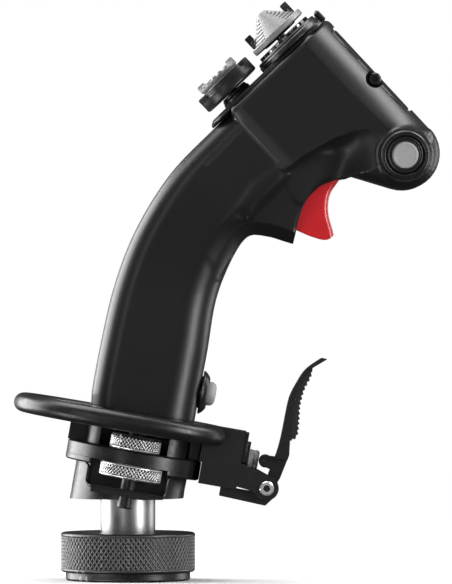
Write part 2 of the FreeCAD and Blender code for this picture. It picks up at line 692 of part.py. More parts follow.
def make_shell_screws():
    screws = []
    for name, (x, z, side) in SHELL_SCREWS.items():
        shank = rod(f"shell_shank_{name}", "shell_screw_radius",
                    (x, "-shell_screw_seat", z), "shell_screw_seat * 2", ALONG_Y)
        foot = "-shell_screw_seat - shell_screw_head" if side < 0 else "shell_screw_seat"
        head = rod(f"shell_head_{name}", "shell_screw_head", (x, foot, z), "shell_screw_head", ALONG_Y)
        screws.append(joined(f"shell_screw_{name}", [shank, head]))
    keep("shell_screws", grouped("halves_screws", screws))


# ---- thumb face and hat switches ---------------------------------------------------------

HATS = {"trim_hat": (-1.4, -8), "crown_hat": (-1, 17.5), "castle_hat": (-30.3, -9.5),
        "grey_hat": (-30.3, 14)}


def make_face_plate():
    keep("face_plate", softened(plate("face_plan", [
        ("plate_back", "-plate_half"), ("plate_front", "-plate_half"),
        ("plate_front", "plate_half"), ("plate_back", "plate_half"),
    ], "plate_top - plate_level", "XY_Plane"), "plate_corner", upright),
        FACE * at(0, 0, "plate_level"))


def hat_base(node, spot, outer, top):
    """A hollow boss that carries the gimbal ring on two pin holes."""
    name = node + "_base"
    shell = turned(name + "_wall", [
        ("cavity_radius", "plate_top"), (outer, "plate_top"), (outer, f"{top} - base_chamfer"),
        (f"{outer} - base_chamfer", top), ("mouth_radius", top), ("mouth_radius", "cavity_roof"),
        ("cavity_radius", "cavity_roof"),
    ])
    holes = rod(name + "_pin_way", "gimbal_pin + pin_gap", ("-gimbal_pin_end - 0.3", 0,
                "pivot_level"), "2 * gimbal_pin_end + 0.6", ALONG_X)
    keep(name, cut(name + "_body", shell, [holes]), spot)


def hat_gimbal(node, spot):
    """The ring between base and stem: its pins lie up the face, its holes across it."""
    name = node + "_gimbal"
    band = turned(name + "_band", ring("gimbal_inner", "gimbal_outer",
                                       "pivot_level - gimbal_half", "pivot_level + gimbal_half"))
    pins = []
    for side, start in (("low", "-gimbal_pin_end"), ("high", "gimbal_outer - 0.3")):
        pins.append(rod(f"{name}_pin_{side}", "gimbal_pin", (start, 0, "pivot_level"),
                        "gimbal_pin_end - gimbal_outer + 0.3", ALONG_X))
    way = rod(name + "_way", "gimbal_pin + pin_gap", (0, "-gimbal_outer - 1", "pivot_level"),
              "2 * gimbal_outer + 2", ALONG_Y)
    keep(name, cut(name + "_ring", joined(name + "_blank", [band] + pins), [way]), spot)


def hat_cap(node, spot, outline, extras=()):
    """The stem with its cross pin, and the shape the thumb works."""
    name = node + "_cap"
    stem = [(0, "stem_foot"), ("stem_radius", "stem_foot"), ("stem_radius", outline[0][1])]
    body = turned(name + "_turned", stem + outline)
    pin = rod(name + "_cross_pin", "gimbal_pin", (0, "-stem_pin_end", "pivot_level"),
              "2 * stem_pin_end", ALONG_Y)
    keep(name, joined(name + "_whole", [body, pin] + list(extras)), spot)


def prongs(name, count, radius, depth, width, foot, top, first=0):
    """Teeth standing on a ring, evenly spaced, their outer faces at the radius."""
    teeth = []
    for number in range(count):
        tooth = block(f"{name}_{number}", (f"{radius} - {depth}", f"-({width}) / 2", foot),
                      (radius, f"({width}) / 2", top))
        turn = Rotation(Vector(0, 0, 1), first + 360 * number / count)
        teeth.append(moved(tooth, Placement(Vector(), turn)))
    return teeth


def make_hats():
    spots = {node: FACE * at(up, across) for node, (up, across) in HATS.items()}
    for node, spot in spots.items():
        if node == "trim_hat":
            hat_base(node, spot, "pedestal_radius", "pedestal_top")
        else:
            hat_base(node, spot, "base_radius", "base_top")
        hat_gimbal(node, spot)
    keep("trim_detent_ring", turned("detent", ring("mouth_radius + 1", "detent_radius",
                                                   "pedestal_top", "detent_top")),
         spots["trim_hat"])
    hat_cap("trim_hat", spots["trim_hat"], [
        ("cone_disc_radius", "cone_foot"),
        ("cone_disc_radius", "cone_disc_top"),
        ("cone_radius", "cone_disc_top"),
        ("cone_tip_radius", "cone_tip"),
        (0, "cone_tip"),
    ])
    hat_cap("crown_hat", spots["crown_hat"], [
        ("crown_neck_radius", "crown_foot"),
        ("crown_radius", "crown_deck - 1.2"),
        ("crown_radius", "crown_deck"),
        ("crown_radius - crown_rim", "crown_deck"),
        ("crown_neck_radius - 2", "crown_deck - 1"),
        (0, "crown_deck - 1"),
    ], prongs("crown_prong", 4, "crown_radius - 0.2", "crown_rim - 0.4", "crown_prong",
              "crown_deck - 0.2", "crown_top"))
    hat_cap("castle_hat", spots["castle_hat"], [
        ("castle_hub + 1", "castle_hub"),
        ("castle_hub + 1", "castle_foot"),
        ("castle_radius", "castle_foot"),
        ("castle_radius", "castle_top"),
        ("castle_radius - castle_wall", "castle_top"),
        ("castle_radius - castle_wall", "castle_floor"),
        (0, "castle_floor"),
    ], prongs("castle_merlon", 4, "castle_radius - 0.3", "castle_wall - 0.6", "castle_merlon",
              "castle_top - 0.2", "castle_merlon_top", 45))
    hat_cap("grey_hat", spots["grey_hat"], [
        ("grey_radius - 1", "grey_foot"),
        ("grey_radius", "grey_foot + 1"),
        ("grey_radius", "grey_deck"),
        (0, "grey_deck"),
    ], prongs("grey_prong", 4, "grey_radius - 0.2", "grey_prong", "grey_prong",
              "grey_deck - 0.2", "grey_top"))


# ---- trigger -----------------------------------------------------------------------------

def make_trigger():
    half = value("trigger_half")
    pivot = Vector(value("trigger_pivot_x"), 0, value("trigger_pivot_z"))
    back = [(74.6, 165.0), (70.6, 158.0), (67.6, 151.0), (66.2, 145.5), (65.9, 140.6)]
    sole = [(65.9, 140.6), (70.8, 138.4), (75.4, 136.7), (80.0, 136.2), (82.2, 138.0)]
    front = [(82.2, 138.0), (81.4, 141.2), (80.3, 145.2), (80.0, 150.0), (80.8, 154.2), (83.2, 158.2),
             (85.6, 161.6)]
    edges = [spline(back), spline(sole), spline(front), line(front[-1], back[0])]
    blade = side_shape(edges, -half, half)
    rims = [edge for edge in blade.Edges
            if edge.BoundBox.YLength < 0.001 and beside(edge, spline(front), 0)]
    blade = blade.makeFillet(2, rims)
    eye_radius = value("trigger_pin_radius") + 4
    eye = Part.makeCylinder(eye_radius, 2 * half, pivot - Vector(0, half, 0), Vector(0, 1, 0))
    bore = Part.makeCylinder(value("trigger_pin_radius + pin_gap"), 4 * half,
                             pivot - Vector(0, 2 * half, 0), Vector(0, 1, 0))
    keep("trigger", solid("trigger_blade", blade.fuse(eye).cut(bore).removeSplitter()))
    inner_half = "(guard_half - shell_wall - fit_gap)"
    keep("trigger_pin", rod("trigger_axle", "trigger_pin_radius", (0, 0, 0),
                            f"2 * {inner_half}"),
         at("trigger_pivot_x", f"-{inner_half}", "trigger_pivot_z", ALONG_Y))
    keep("trigger_spring", turned("trigger_coil", ring("coil_inner", "coil_outer", 0,
                                                       "coil_length")),
         at("trigger_pivot_x", "trigger_half + 0.3", "trigger_pivot_z", ALONG_Y))


# ---- push buttons ------------------------------------------------------------------------

def make_pinky_button():
    place = GRIP * at(0, 0, "pinky_level", ALONG_X)
    bore = "pinky_button_radius + running_gap"
    keep("pinky_bezel", turned("pinky_dome", [
        (bore, "pinky_spigot_end"),
        ("pinky_spigot_radius", "pinky_spigot_end"),
        ("pinky_spigot_radius", "pinky_face"),
        ("pinky_flange_radius", "pinky_face"),
        ("pinky_flange_radius - 0.8", "pinky_face + 1"),
        ("pinky_crest_radius + 0.8", "pinky_crest - 0.6"),
        ("pinky_crest_radius", "pinky_crest"),
        (bore, "pinky_crest"),
    ]), place)
    keep("pinky_button", turned("pinky_cap", [
        (0, "pinky_spigot_end + 0.5"),
        ("pinky_button_radius", "pinky_spigot_end + 0.5"),
        ("pinky_button_radius", "pinky_button_end - 0.7"),
        ("pinky_button_radius - 0.7", "pinky_button_end"),
        (0, "pinky_button_end"),
    ]), place)


def make_nose_button():
    keep("nose_bezel", turned("nose_ring", [
        ("nose_bezel_bore", "-nose_depth"),
        ("nose_bezel_radius", "-nose_depth"),
        ("nose_bezel_radius", "nose_bezel_proud - 0.5"),
        ("nose_bezel_radius - 0.7", "nose_bezel_proud"),
        ("nose_bezel_bore + 0.5", "nose_bezel_proud"),
        ("nose_bezel_bore", "nose_bezel_proud - 0.5"),
    ]), NOSE)
    keep("nose_collar", turned("nose_sleeve", [
        ("nose_button_radius + running_gap", "-nose_depth"),
        ("nose_collar_radius", "-nose_depth"),
        ("nose_collar_radius", "nose_collar_proud"),
        ("nose_button_radius + running_gap", "nose_collar_proud"),
    ]), NOSE)
    keep("nose_button", turned("nose_cap", [
        (0, "-nose_depth + button_travel"),
        ("nose_button_radius", "-nose_depth + button_travel"),
        ("nose_button_radius", "nose_button_proud - 0.5"),
        ("nose_button_radius - 0.5", "nose_button_proud"),
        (0, "nose_button_proud"),
    ]), NOSE)


# ---- paddle ------------------------------------------------------------------------------

PADDLE_PIVOT = Vector(value("paddle_pivot_x"), 0, value("paddle_pivot_z"))
# long enough for a cutting tool to pass through any piece of the paddle
THROUGH = 40


def across(radius, half, center):
    """A cylinder lying along Y, centred on a point of the side view."""
    return Part.makeCylinder(radius, 2 * half, center - Vector(0, half, 0), Vector(0, 1, 0))


def make_paddle_housing():
    half = value("block_half")
    foot, top = value("block_foot"), value("neck_top")
    front = value("block_front")
    back, flange_back = value("block_back"), value("block_flange_back")
    deck = value("deck_level + seat_gap")
    body = side_shape(chain([(flange_back, foot), (front, foot), (front, top), (back, top),
                             (back, deck), (flange_back, deck), (flange_back, foot)]), -half, half)
    # two cheeks reach forward from the block and carry the pivot's ends
    inner, outer = value("cheek_inner"), value("cheek_outer")
    reach = chain([(front, 18.7), (49.8, 16.9), (54.0, 15.4), (54.4, 6.2), (48.5, 8.6),
                   (front, 9.2), (front, 18.7)])
    eye = value("cheek_end_radius")
    cheeks = []
    for low, high in ((-outer, -inner), (inner, outer)):
        center = PADDLE_PIVOT + Vector(0, low, 0)
        end = Part.makeCylinder(eye, high - low, center, Vector(0, 1, 0))
        cheeks += [side_shape(reach, low, high), end]
    bore = Part.makeCylinder(value("plunger_radius + running_gap"), THROUGH,
                             Vector(value("plunger_bore_end"), 0, value("plunger_level")),
                             Vector(1, 0, 0))
    pivot_way = across(value("pivot_radius + fit_gap"), THROUGH, PADDLE_PIVOT)
    room_half, room_length = value("switch_width / 2 + 0.2"), value("switch_length + 0.4")
    room = Part.makeBox(value("switch_height + 0.6"), 2 * room_half, room_length,
                        Vector(value("plunger_bore_end - 0.8"), -room_half,
                               value("plunger_level") - room_length / 2))
    body = body.fuse(cheeks).cut([bore, pivot_way, room]).removeSplitter()
    keep("paddle_housing", solid("paddle_block", body), GRIP)

    step = value("bezel_step")
    rim = value("bezel_half")
    level = value("plunger_level")
    floor = level - value("bezel_drop")
    narrower = rim - value("bezel_upper_inset")
    lower = Part.makeBox(step, 2 * rim, value("bezel_lower_height"), Vector(front, -rim, floor))
    upper = Part.makeBox(step, 2 * narrower, value("bezel_upper_height"),
                         Vector(front + step, -narrower, floor))
    sleeve = Part.makeCylinder(value("bezel_sleeve_radius"), 2 * step, Vector(front, 0, level),
                               Vector(1, 0, 0))
    bezel = lower.fuse([upper, sleeve]).cut(bore).removeSplitter()
    keep("plunger_bezel", solid("plunger_plates", bezel), GRIP)


def make_paddle_bracket():
    outer, inner = value("ear_outer"), value("ear_inner")
    back, foot = value("bracket_back"), value("block_foot")
    floor = value("bracket_floor")
    outline = chain([(back, foot), (back, 4.4), (55.0, 3.6), (58.4, 8.0), (58.4, 12.0),
                     (50.6, 13.6), (48.2, foot), (back, foot)])
    body = side_shape(outline, -outer, outer)
    body = body.fuse(across(value("ear_end_radius"), outer, PADDLE_PIVOT))
    gap = Part.makeBox(THROUGH, 2 * inner, THROUGH, Vector(value("bracket_gap_back"), -inner, floor))
    pivot_way = across(value("pivot_radius + fit_gap"), THROUGH, PADDLE_PIVOT)
    keep("paddle_bracket", solid("bracket", body.cut([gap, pivot_way]).removeSplitter()), GRIP)

    half = value("cheek_outer")
    head = value("pivot_head_height")
    pin = across(value("pivot_radius"), half, PADDLE_PIVOT)
    head_radius = value("pivot_head_radius")
    near = Part.makeCylinder(head_radius, head, PADDLE_PIVOT - Vector(0, half + head, 0),
                             Vector(0, 1, 0))
    far = Part.makeCylinder(head_radius, head, PADDLE_PIVOT + Vector(0, half, 0), Vector(0, 1, 0))
    keep("paddle_pivot", solid("pivot_screw", pin.fuse([near, far]).removeSplitter()), GRIP)


PAD_LINE = [(60.3, 31.0), (59.3, 38.9), (59.5, 45.0), (59.8, 50.3), (61.2, 56.3), (64.2, 61.0)]


def make_paddle():
    narrow, wide = value("lever_half"), value("blade_half")
    back = [(53.9, 15.1), (54.3, 17.4), (55.6, 23.5), (56.4, 30.3), (56.6, 36.4), (56.7, 42.5),
            (57.2, 48.7), (58.8, 53.8), (61.4, 59.6), (63.8, 62.4), (67.2, 65.5)]
    tip = [(67.2, 65.5), (69.3, 65.4), (64.2, 61.0)]
    shin = [(60.3, 31.0), (61.0, 25.0), (59.0, 15.3), (57.4, 11.6)]
    edges = [spline(back), spline(PAD_LINE)] + chain(tip) + chain(shin)
    edges.append(line(shin[-1], back[0]))
    blade = side_shape(edges, -wide, wide)
    # below the blade the lever narrows to pass between the bracket's ears
    for low, high in ((-wide - 1, -narrow), (narrow, wide + 1)):
        blade = blade.cut(Part.makeBox(THROUGH, high - low, value("lever_waist"),
                                       Vector(value("block_front"), low, 0)))
    eye = across(value("lever_eye_radius"), narrow, PADDLE_PIVOT)
    roller_spot = Vector(value("roller_x"), 0, value("roller_z"))
    lug = across(value("lug_radius"), narrow, roller_spot)
    arm = side_shape(chain([(52.0, 18.8), (57.0, 17.4), (57.0, 23.4), (52.0, 23.2), (52.0, 18.8)]),
                     -narrow, narrow)
    roller_room = value("roller_half") + 0.1
    open_radius = value("roller_radius + roller_room")
    room = across(open_radius, roller_room, roller_spot)
    mouth = Part.makeBox(open_radius, 2 * roller_room, 2 * open_radius,
                         roller_spot - Vector(open_radius, roller_room, open_radius))
    pin_way = across(value("roller_pin_radius + pin_gap"), THROUGH, roller_spot)
    pivot_way = across(value("pivot_radius + pin_gap"), THROUGH, PADDLE_PIVOT)
    lever = blade.fuse([eye, lug, arm]).cut([room, mouth, pin_way, pivot_way]).removeSplitter()
    keep("paddle_lever", solid("lever", lever), GRIP)

    outer_line = [(64.2, 61.0), (63.6, 56.8), (62.3, 51.6), (61.8, 45.4), (62.4, 39.5), (62.7, 33.5),
                  (60.3, 31.0)]
    pad = side_shape([spline(PAD_LINE), spline(outer_line)], 1 - wide, wide - 1)
    keep("paddle_pad", solid("pad", pad), GRIP)

    roller = across(value("roller_radius"), value("roller_half"), roller_spot)
    axle = across(value("roller_pin_radius"), narrow, roller_spot)
    keep("paddle_roller", solid("roller", roller.fuse(axle).removeSplitter()), GRIP)
    keep("paddle_plunger", turned("plunger", [
        (0, "plunger_back"),
        ("plunger_radius", "plunger_back"),
        ("plunger_radius", "plunger_end - 0.5"),
        ("plunger_radius - 0.5", "plunger_end"),
        (0, "plunger_end"),
    ]), GRIP * at(0, 0, "plunger_level", ALONG_X))


# ---- switches, boards, wiring ------------------------------------------------------------

def micro_switch(node, place):
    """A snap-action switch: a case with its nub standing out of the top."""
    case = block(node + "_case", ("-switch_length / 2", "-switch_width / 2", "-switch_height"),
                 ("switch_length / 2", "switch_width / 2", 0))
    nub = rod(node + "_nub", "nub_radius", (0, 0, "-switch_nub"), "2 * switch_nub")
    keep(node, joined(node + "_whole", [case, nub]), place)


def make_electronics():
    micro_switch("pinky_switch", GRIP * at(
        "pinky_spigot_end - button_travel - switch_nub - 0.1", 0, "pinky_level", ALONG_X))
    micro_switch("nose_switch", NOSE * at(0, 0, "-nose_depth - switch_nub - 0.1"))
    micro_switch("trigger_switch", at("trigger_switch_x", 0, "trigger_switch_z", ALONG_X))
    micro_switch("paddle_switch", GRIP * at("plunger_bore_end + 6", 0, "plunger_level", ALONG_X))
    keep("main_board", block("board", ("board_back", "-board_thickness / 2", "board_foot"),
                             ("board_front", "board_thickness / 2", "board_top")), GRIP)
    keep("hat_board", block("face_board", ("plate_back + 9", "-hat_board_half", "hat_board_level"),
                            ("plate_front - 8", "hat_board_half",
                             "hat_board_level + board_thickness")), FACE)

    radius = value("wire_radius")
    start = Vector(0, 0, value("shaft_foot - flange_thickness + plug_length + seat_gap"))
    corner = Vector(0, 0, value("grip_height"))
    end = GRIP.multVec(Vector(0, 0, value("board_foot - seat_gap")))
    lean = math.radians(value("grip_lean"))
    easing = 12
    run_in = corner - Vector(0, 0, easing)
    run_out = corner + Vector(math.sin(lean), 0, math.cos(lean)) * easing
    bend = easing / math.tan(lean / 2)
    middle = corner + Vector(math.cos(lean / 2), 0, -math.sin(lean / 2)) * (
        bend / math.cos(lean / 2) - bend)
    path = Part.Wire([Part.makeLine(start, run_in), Part.Arc(run_in, middle, run_out).toShape(),
                      Part.makeLine(run_out, end)])
    hoop = Part.Wire([Part.makeCircle(radius, start, Vector(0, 0, 1))])
    keep("wiring_harness", solid("harness", path.makePipeShell([hoop], True, True)))


# ---- assembly ----------------------------------------------------------------------------

def build():
    make_coupling()
    make_tilt_housing()
    make_base_flange()
    make_neck()
    make_adjuster()
    make_palm_rest()
    make_shell()
    make_shell_screws()
    make_face_plate()
    make_hats()
    make_trigger()
    make_pinky_button()
    make_nose_button()
    make_paddle_housing()
    make_paddle_bracket()
    make_paddle()
    make_electronics()
    DOC.recompute()


def check():
    for item in DOC.Objects:
        if "Invalid" in item.State or "Error" in item.State:
            raise RuntimeError(f"{item.Name} failed: {item.State}")
    for node, part in PARTS.items():
        if part.Shape.isNull() or not part.Shape.isValid() or not part.Shape.Solids:
            raise RuntimeError(f"{node} has no valid solid")


def write():
    os.makedirs("parts", exist_ok=True)
    for node, part in PARTS.items():
        part.Shape.exportStep(f"parts/{node}.step")


build()
check()
write()
print(len(PARTS), "parts written")
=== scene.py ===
import json
import math
from contextlib import contextmanager

import bmesh
import bpy
import numpy as np
from mathutils import Matrix, Vector


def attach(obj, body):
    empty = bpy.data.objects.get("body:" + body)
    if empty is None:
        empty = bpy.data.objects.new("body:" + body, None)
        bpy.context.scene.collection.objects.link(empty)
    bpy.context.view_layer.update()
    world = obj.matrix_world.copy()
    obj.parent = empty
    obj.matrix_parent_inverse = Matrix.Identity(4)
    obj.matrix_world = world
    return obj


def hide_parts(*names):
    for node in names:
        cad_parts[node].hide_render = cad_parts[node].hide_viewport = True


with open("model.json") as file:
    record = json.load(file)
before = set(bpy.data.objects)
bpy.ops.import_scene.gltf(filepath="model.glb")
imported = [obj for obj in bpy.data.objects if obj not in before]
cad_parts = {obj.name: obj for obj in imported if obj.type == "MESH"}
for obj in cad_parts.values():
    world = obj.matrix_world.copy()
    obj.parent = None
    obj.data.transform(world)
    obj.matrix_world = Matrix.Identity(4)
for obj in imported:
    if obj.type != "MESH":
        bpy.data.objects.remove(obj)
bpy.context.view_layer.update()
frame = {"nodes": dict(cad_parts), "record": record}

# A flight joystick's grip on its coupling collar. The frame is in metres; this script draws in
# millimetres, in the same place, and scales each mesh once.
MM = 0.001


def moved(x, y, z):
    """The placing that moves by so many millimetres."""
    return Matrix.Translation((x, y, z))


def spun(degrees, axis):
    """The placing that turns round one of the axes."""
    return Matrix.Rotation(math.radians(degrees), 4, axis)


# ROW stands upright on the collar's foot. GRIP leans forward with the grip, its X to the
# front. FACE lies on the thumb face, its X towards the nose and its Z out of the face.
# ADJUSTER is on the axis of the palm rest's stud.
# FORWARD turns a part drawn along Z so that it points to the front.
GRIP = moved(0, 0, 36) @ spun(10, "Y")
FACE = moved(68, 0, 212) @ spun(-43.5, "Y")
ROW = Matrix.Identity(4)
ADJUSTER = GRIP @ moved(0, -21, 0)
FORWARD = spun(90, "Y")


# ---- materials ---------------------------------------------------------------------------

class Surface:
    """A node material under construction: a Principled shader and a few helpers."""

    def __init__(self, name):
        self.material = bpy.data.materials.new(name)
        self.material.use_nodes = True
        self.tree = self.material.node_tree
        self.shader = self.tree.nodes["Principled BSDF"]
        self.place = self.add("ShaderNodeTexCoord").outputs["Object"]

    def add(self, kind, **settings):
        node = self.tree.nodes.new(kind)
        for key, setting in settings.items():
            setattr(node, key, setting)
        return node

    def link(self, source, target):
        """Feeds a node's input from a socket, or sets it to a plain value."""
        if isinstance(source, bpy.types.NodeSocket):
            self.tree.links.new(source, target)
        else:
            target.default_value = source

    def shade(self, label, source):
        """Feeds one of the shader's own inputs."""
        self.link(source, self.shader.inputs[label])

    def mapped(self, label, setting):
        """Places on the object after one mapping: its Scale or its Rotation."""
        mapping = self.add("ShaderNodeMapping")
        mapping.inputs[label].default_value = setting
        self.link(self.place, mapping.inputs["Vector"])
        return mapping.outputs["Vector"]

    def noise(self, size_mm, detail=3, stretch=(1, 1, 1)):
        """Noise whose features are about size_mm across, stretched along an axis."""
        vector = self.mapped("Scale", stretch)
        noise = self.add("ShaderNodeTexNoise")
        noise.inputs["Scale"].default_value = 1 / (size_mm * MM)
        noise.inputs["Detail"].default_value = detail
        self.link(vector, noise.inputs["Vector"])
        return noise.outputs["Fac"]

    def spread(self, source, low, high, start=0.3, end=0.7):
        """Maps a 0 to 1 source to low to high."""
        ranged = self.add("ShaderNodeMapRange")
        for label, setting in (("From Min", start), ("From Max", end), ("To Min", low), ("To Max", high)):
            ranged.inputs[label].default_value = setting
        self.link(source, ranged.inputs["Value"])
        return ranged.outputs["Result"]

    def mixed(self, amount, first, second):
        """A colour between two, each a colour or a socket."""
        mix = self.add("ShaderNodeMix", data_type="RGBA")
        self.link(amount, mix.inputs["Factor"])
        for socket, colour in ((mix.inputs[6], first), (mix.inputs[7], second)):
            self.link((*colour, 1) if isinstance(colour, tuple) else colour, socket)
        return mix.outputs[2]

    def edges(self, low, high):
        """1 on convex edges, 0 in hollows: marks worn crests, and the valleys that get painted shade."""
        return self.spread(self.add("ShaderNodeNewGeometry").outputs["Pointiness"], 0, 1, low, high)

    def bump(self, source, height_mm, previous=None):
        bump = self.add("ShaderNodeBump")
        bump.inputs["Distance"].default_value = height_mm * MM
        self.link(source, bump.inputs["Height"])
        if previous:
            self.link(previous, bump.inputs["Normal"])
        return bump.outputs["Normal"]


def darker(colour, share):
    """The colour dimmed to a share of itself."""
    return tuple(channel * share for channel in colour)


def moulded(name, colour, roughness, worn=None, grain=0.45, depth=0.02):
    """Plastic or paint: a fine grain, slow colour drift, edges polished where worn is given."""
    surface = Surface(name)
    base = surface.mixed(surface.spread(surface.noise(14, 4), 0, 1), darker(colour, 0.82), colour)
    if worn:
        base = surface.mixed(surface.edges(0.53, 0.6), base, worn)
    surface.shade("Base Color", base)
    fine = surface.noise(grain, 2)
    surface.shade("Roughness", surface.spread(fine, roughness - 0.05, roughness + 0.05))
    skin = surface.bump(fine, depth)
    surface.shade("Normal", surface.bump(surface.noise(6, 2), depth * 1.5, skin))
    surface.shade("Specular IOR Level", 0.45)
    return surface.material


def metal(name, colour, roughness, worn=None, brush=(1, 1, 1), depth=0.004, metallic=0.8, crest=0.6):
    """Machined metal, brushed one way. Where worn is given, crests are worn and valleys get painted shade.
    """
    surface = Surface(name)
    base = surface.mixed(surface.spread(surface.noise(9, 5), 0, 1), darker(colour, 0.85), colour)
    if worn:
        # painted shade: the hollows of knurls and grooves are darkened to a share of the colour, standing
        # in for the shade that falls in them
        base = surface.mixed(surface.edges(0.46, 0.498), darker(colour, 0.08), base)
        base = surface.mixed(surface.edges(0.52, crest), base, worn)
    surface.shade("Base Color", base)
    surface.shade("Metallic", metallic)
    lines = surface.noise(1.2, 3, brush)
    surface.shade("Roughness", surface.spread(lines, roughness - 0.06, roughness + 0.08))
    surface.shade("Normal", surface.bump(lines, depth))
    return surface.material


def lacquered(name, colour, roughness):
    """Glossy coloured plastic with a clear skin and faint flow marks."""
    surface = Surface(name)
    drift = surface.spread(surface.noise(12, 2), 0, 1)
    surface.shade("Base Color", surface.mixed(drift, darker(colour, 0.9), colour))
    surface.shade("Roughness", surface.spread(surface.noise(3, 2), roughness - 0.02, roughness + 0.02))
    surface.shade("Normal", surface.bump(surface.noise(5, 2), 0.02))
    surface.shade("Coat Weight", 0.3)
    surface.shade("Coat Roughness", 0.15)
    return surface.material


def woven(name, colour):
    """Braided sleeving: crossing strands from two waves."""
    surface = Surface(name)
    strands = []
    for lean in (1, -1):
        vector = surface.mapped("Rotation", (0, math.radians(45 * lean), 0))
        wave = surface.add("ShaderNodeTexWave")
        wave.inputs["Scale"].default_value = 1 / (1.6 * MM) / 6
        surface.link(vector, wave.inputs["Vector"])
        strands.append(wave.outputs["Fac"])
    weave = surface.add("ShaderNodeMath", operation="MAXIMUM")
    for strand, socket in zip(strands, weave.inputs):
        surface.link(strand, socket)
    surface.shade("Base Color", surface.mixed(weave.outputs[0], darker(colour, 0.4), colour))
    surface.shade("Roughness", 0.7)
    surface.shade("Normal", surface.bump(weave.outputs[0], 0.2))
    return surface.material


# The frame's material slots, then three finishes that only pieces drawn here have.
MATERIALS = {
    "grip_black": moulded("grip_black", (0.0075, 0.0075, 0.008), 0.36, (0.02, 0.02, 0.021)),
    "face_black": moulded("face_black", (0.011, 0.011, 0.0115), 0.32),
    "hidden_nylon": moulded("hidden_nylon", (0.05, 0.05, 0.05), 0.6),
    "light_grey": moulded("light_grey", (0.37, 0.37, 0.37), 0.42),
    "black_rubber": moulded("black_rubber", (0.012, 0.012, 0.012), 0.62),
    "switch_body": moulded("switch_body", (0.03, 0.03, 0.032), 0.5),
    "board_green": moulded("board_green", (0.015, 0.11, 0.035), 0.3),
    "black_metal": metal("black_metal", (0.009, 0.009, 0.0095), 0.34, metallic=0),
    "knurled_black": metal("knurled_black", (0.007, 0.007, 0.0075), 0.34, (0.19, 0.19, 0.195),
                           metallic=0, crest=0.55),
    "bright_steel": metal("bright_steel", (0.66, 0.66, 0.67), 0.27, (0.95, 0.95, 0.95),
                          (6, 6, 0.5), 0.0006),
    "spring_steel": metal("spring_steel", (0.5, 0.5, 0.51), 0.3),
    "contact_brass": metal("contact_brass", (0.75, 0.56, 0.25), 0.25),
    "trigger_red": lacquered("trigger_red", (0.66, 0.008, 0.016), 0.32),
    "cable_jacket": woven("cable_jacket", (0.05, 0.05, 0.05)),
    "knurled_steel": metal("knurled_steel", (0.14, 0.14, 0.14), 0.32, (0.95, 0.95, 0.95),
                           metallic=0.7, crest=0.53),
    "satin_steel": metal("satin_steel", (0.23, 0.23, 0.235), 0.5, metallic=0.4),
    "drawn_steel": metal("drawn_steel", (0.36, 0.36, 0.365), 0.36, None, (16, 16, 0.3), 0.0002,
                         metallic=1),
}


def dress_frame():
    """Gives every CAD node its slot's material, and returns the slots by node."""
    slots = {part["node"]: part["material_slot"] for part in frame["record"]["subparts"]}
    for node, obj in frame["nodes"].items():
        obj.data.materials.clear()
        obj.data.materials.append(MATERIALS[slots[node]])
    return slots


SLOTS = dress_frame()
BODIES = frame["record"]["behaviour"]["bodies"]
BODY_OF = {node: body for body, nodes in BODIES.items() for node in nodes}


# ---- pieces ------------------------------------------------------------------------------

@contextmanager
def edited(mesh):
    """Opens a mesh for bmesh operations, and writes their result back to it."""
    shape = bmesh.new()
    shape.from_mesh(mesh)
    yield shape
    shape.to_mesh(mesh)
    shape.free()


def placed(name, data):
    """A new object in the scene."""
    thing = bpy.data.objects.new(name, data)
    bpy.context.scene.collection.objects.link(thing)
    return thing


def finished(name, mesh, nodes, crease=32, finish=None):
    """Puts a mesh that is in metres into the scene, in place of the CAD nodes named."""
    mesh.shade_smooth()
    mesh.set_sharp_from_angle(angle=math.radians(crease))
    slot = SLOTS[nodes[0]]
    mesh.materials.clear()
    mesh.materials.append(MATERIALS[finish or slot])
    piece = placed(name, mesh)
    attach(piece, BODY_OF[nodes[0]])
    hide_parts(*nodes)
    return piece


def drawn(name, points, faces, nodes, place=ROW, crease=32, finish=None):
    """A piece from millimetre points in the frame of place, welded and facing outwards."""
    mesh = bpy.data.meshes.new(name)
    mesh.from_pydata([tuple(point) for point in points], [], faces)
    mesh.transform(Matrix.Scale(MM, 4) @ place)
    with edited(mesh) as shape:
        bmesh.ops.remove_doubles(shape, verts=shape.verts, dist=0.004 * MM)
        bmesh.ops.recalc_face_normals(shape, faces=shape.faces)
    finished(name, mesh, nodes, crease, finish)


def refined(node, width):
    """A CAD node's own shape with its sharp edges rounded over by width millimetres."""
    flat = math.radians(1.5)
    mesh = frame["nodes"][node].data.copy()
    mesh.name = node + "_eased"
    with edited(mesh) as shape:
        bmesh.ops.remove_doubles(shape, verts=shape.verts, dist=0.003 * MM)
        bmesh.ops.dissolve_limit(shape, angle_limit=flat, verts=shape.verts, edges=shape.edges)
    piece = finished(node + "_eased", mesh, [node], crease=40)
    bevel = piece.modifiers.new("edges", "BEVEL")
    bevel.width = width * MM
    bevel.segments = 2
    bevel.limit_method = "ANGLE"
    bevel.angle_limit = math.radians(38)
    bevel.use_clamp_overlap = True


def ribbon(low, high, count):
    """Four-sided faces between two rings of count points, each known by its first point."""
    faces = []
    for step in range(count):
        following = (step + 1) % count
        faces.append((low + step, low + following, high + following, high + step))
    return faces


def closed(points, count):
    """The faces of a solid whose points are rings of count, one after another, and its two ends."""
    faces = []
    for start in range(0, len(points) - count, count):
        faces += ribbon(start, start + count, count)
    faces.append(tuple(range(count))[::-1])
    faces.append(tuple(range(len(points) - count, len(points))))
    return faces


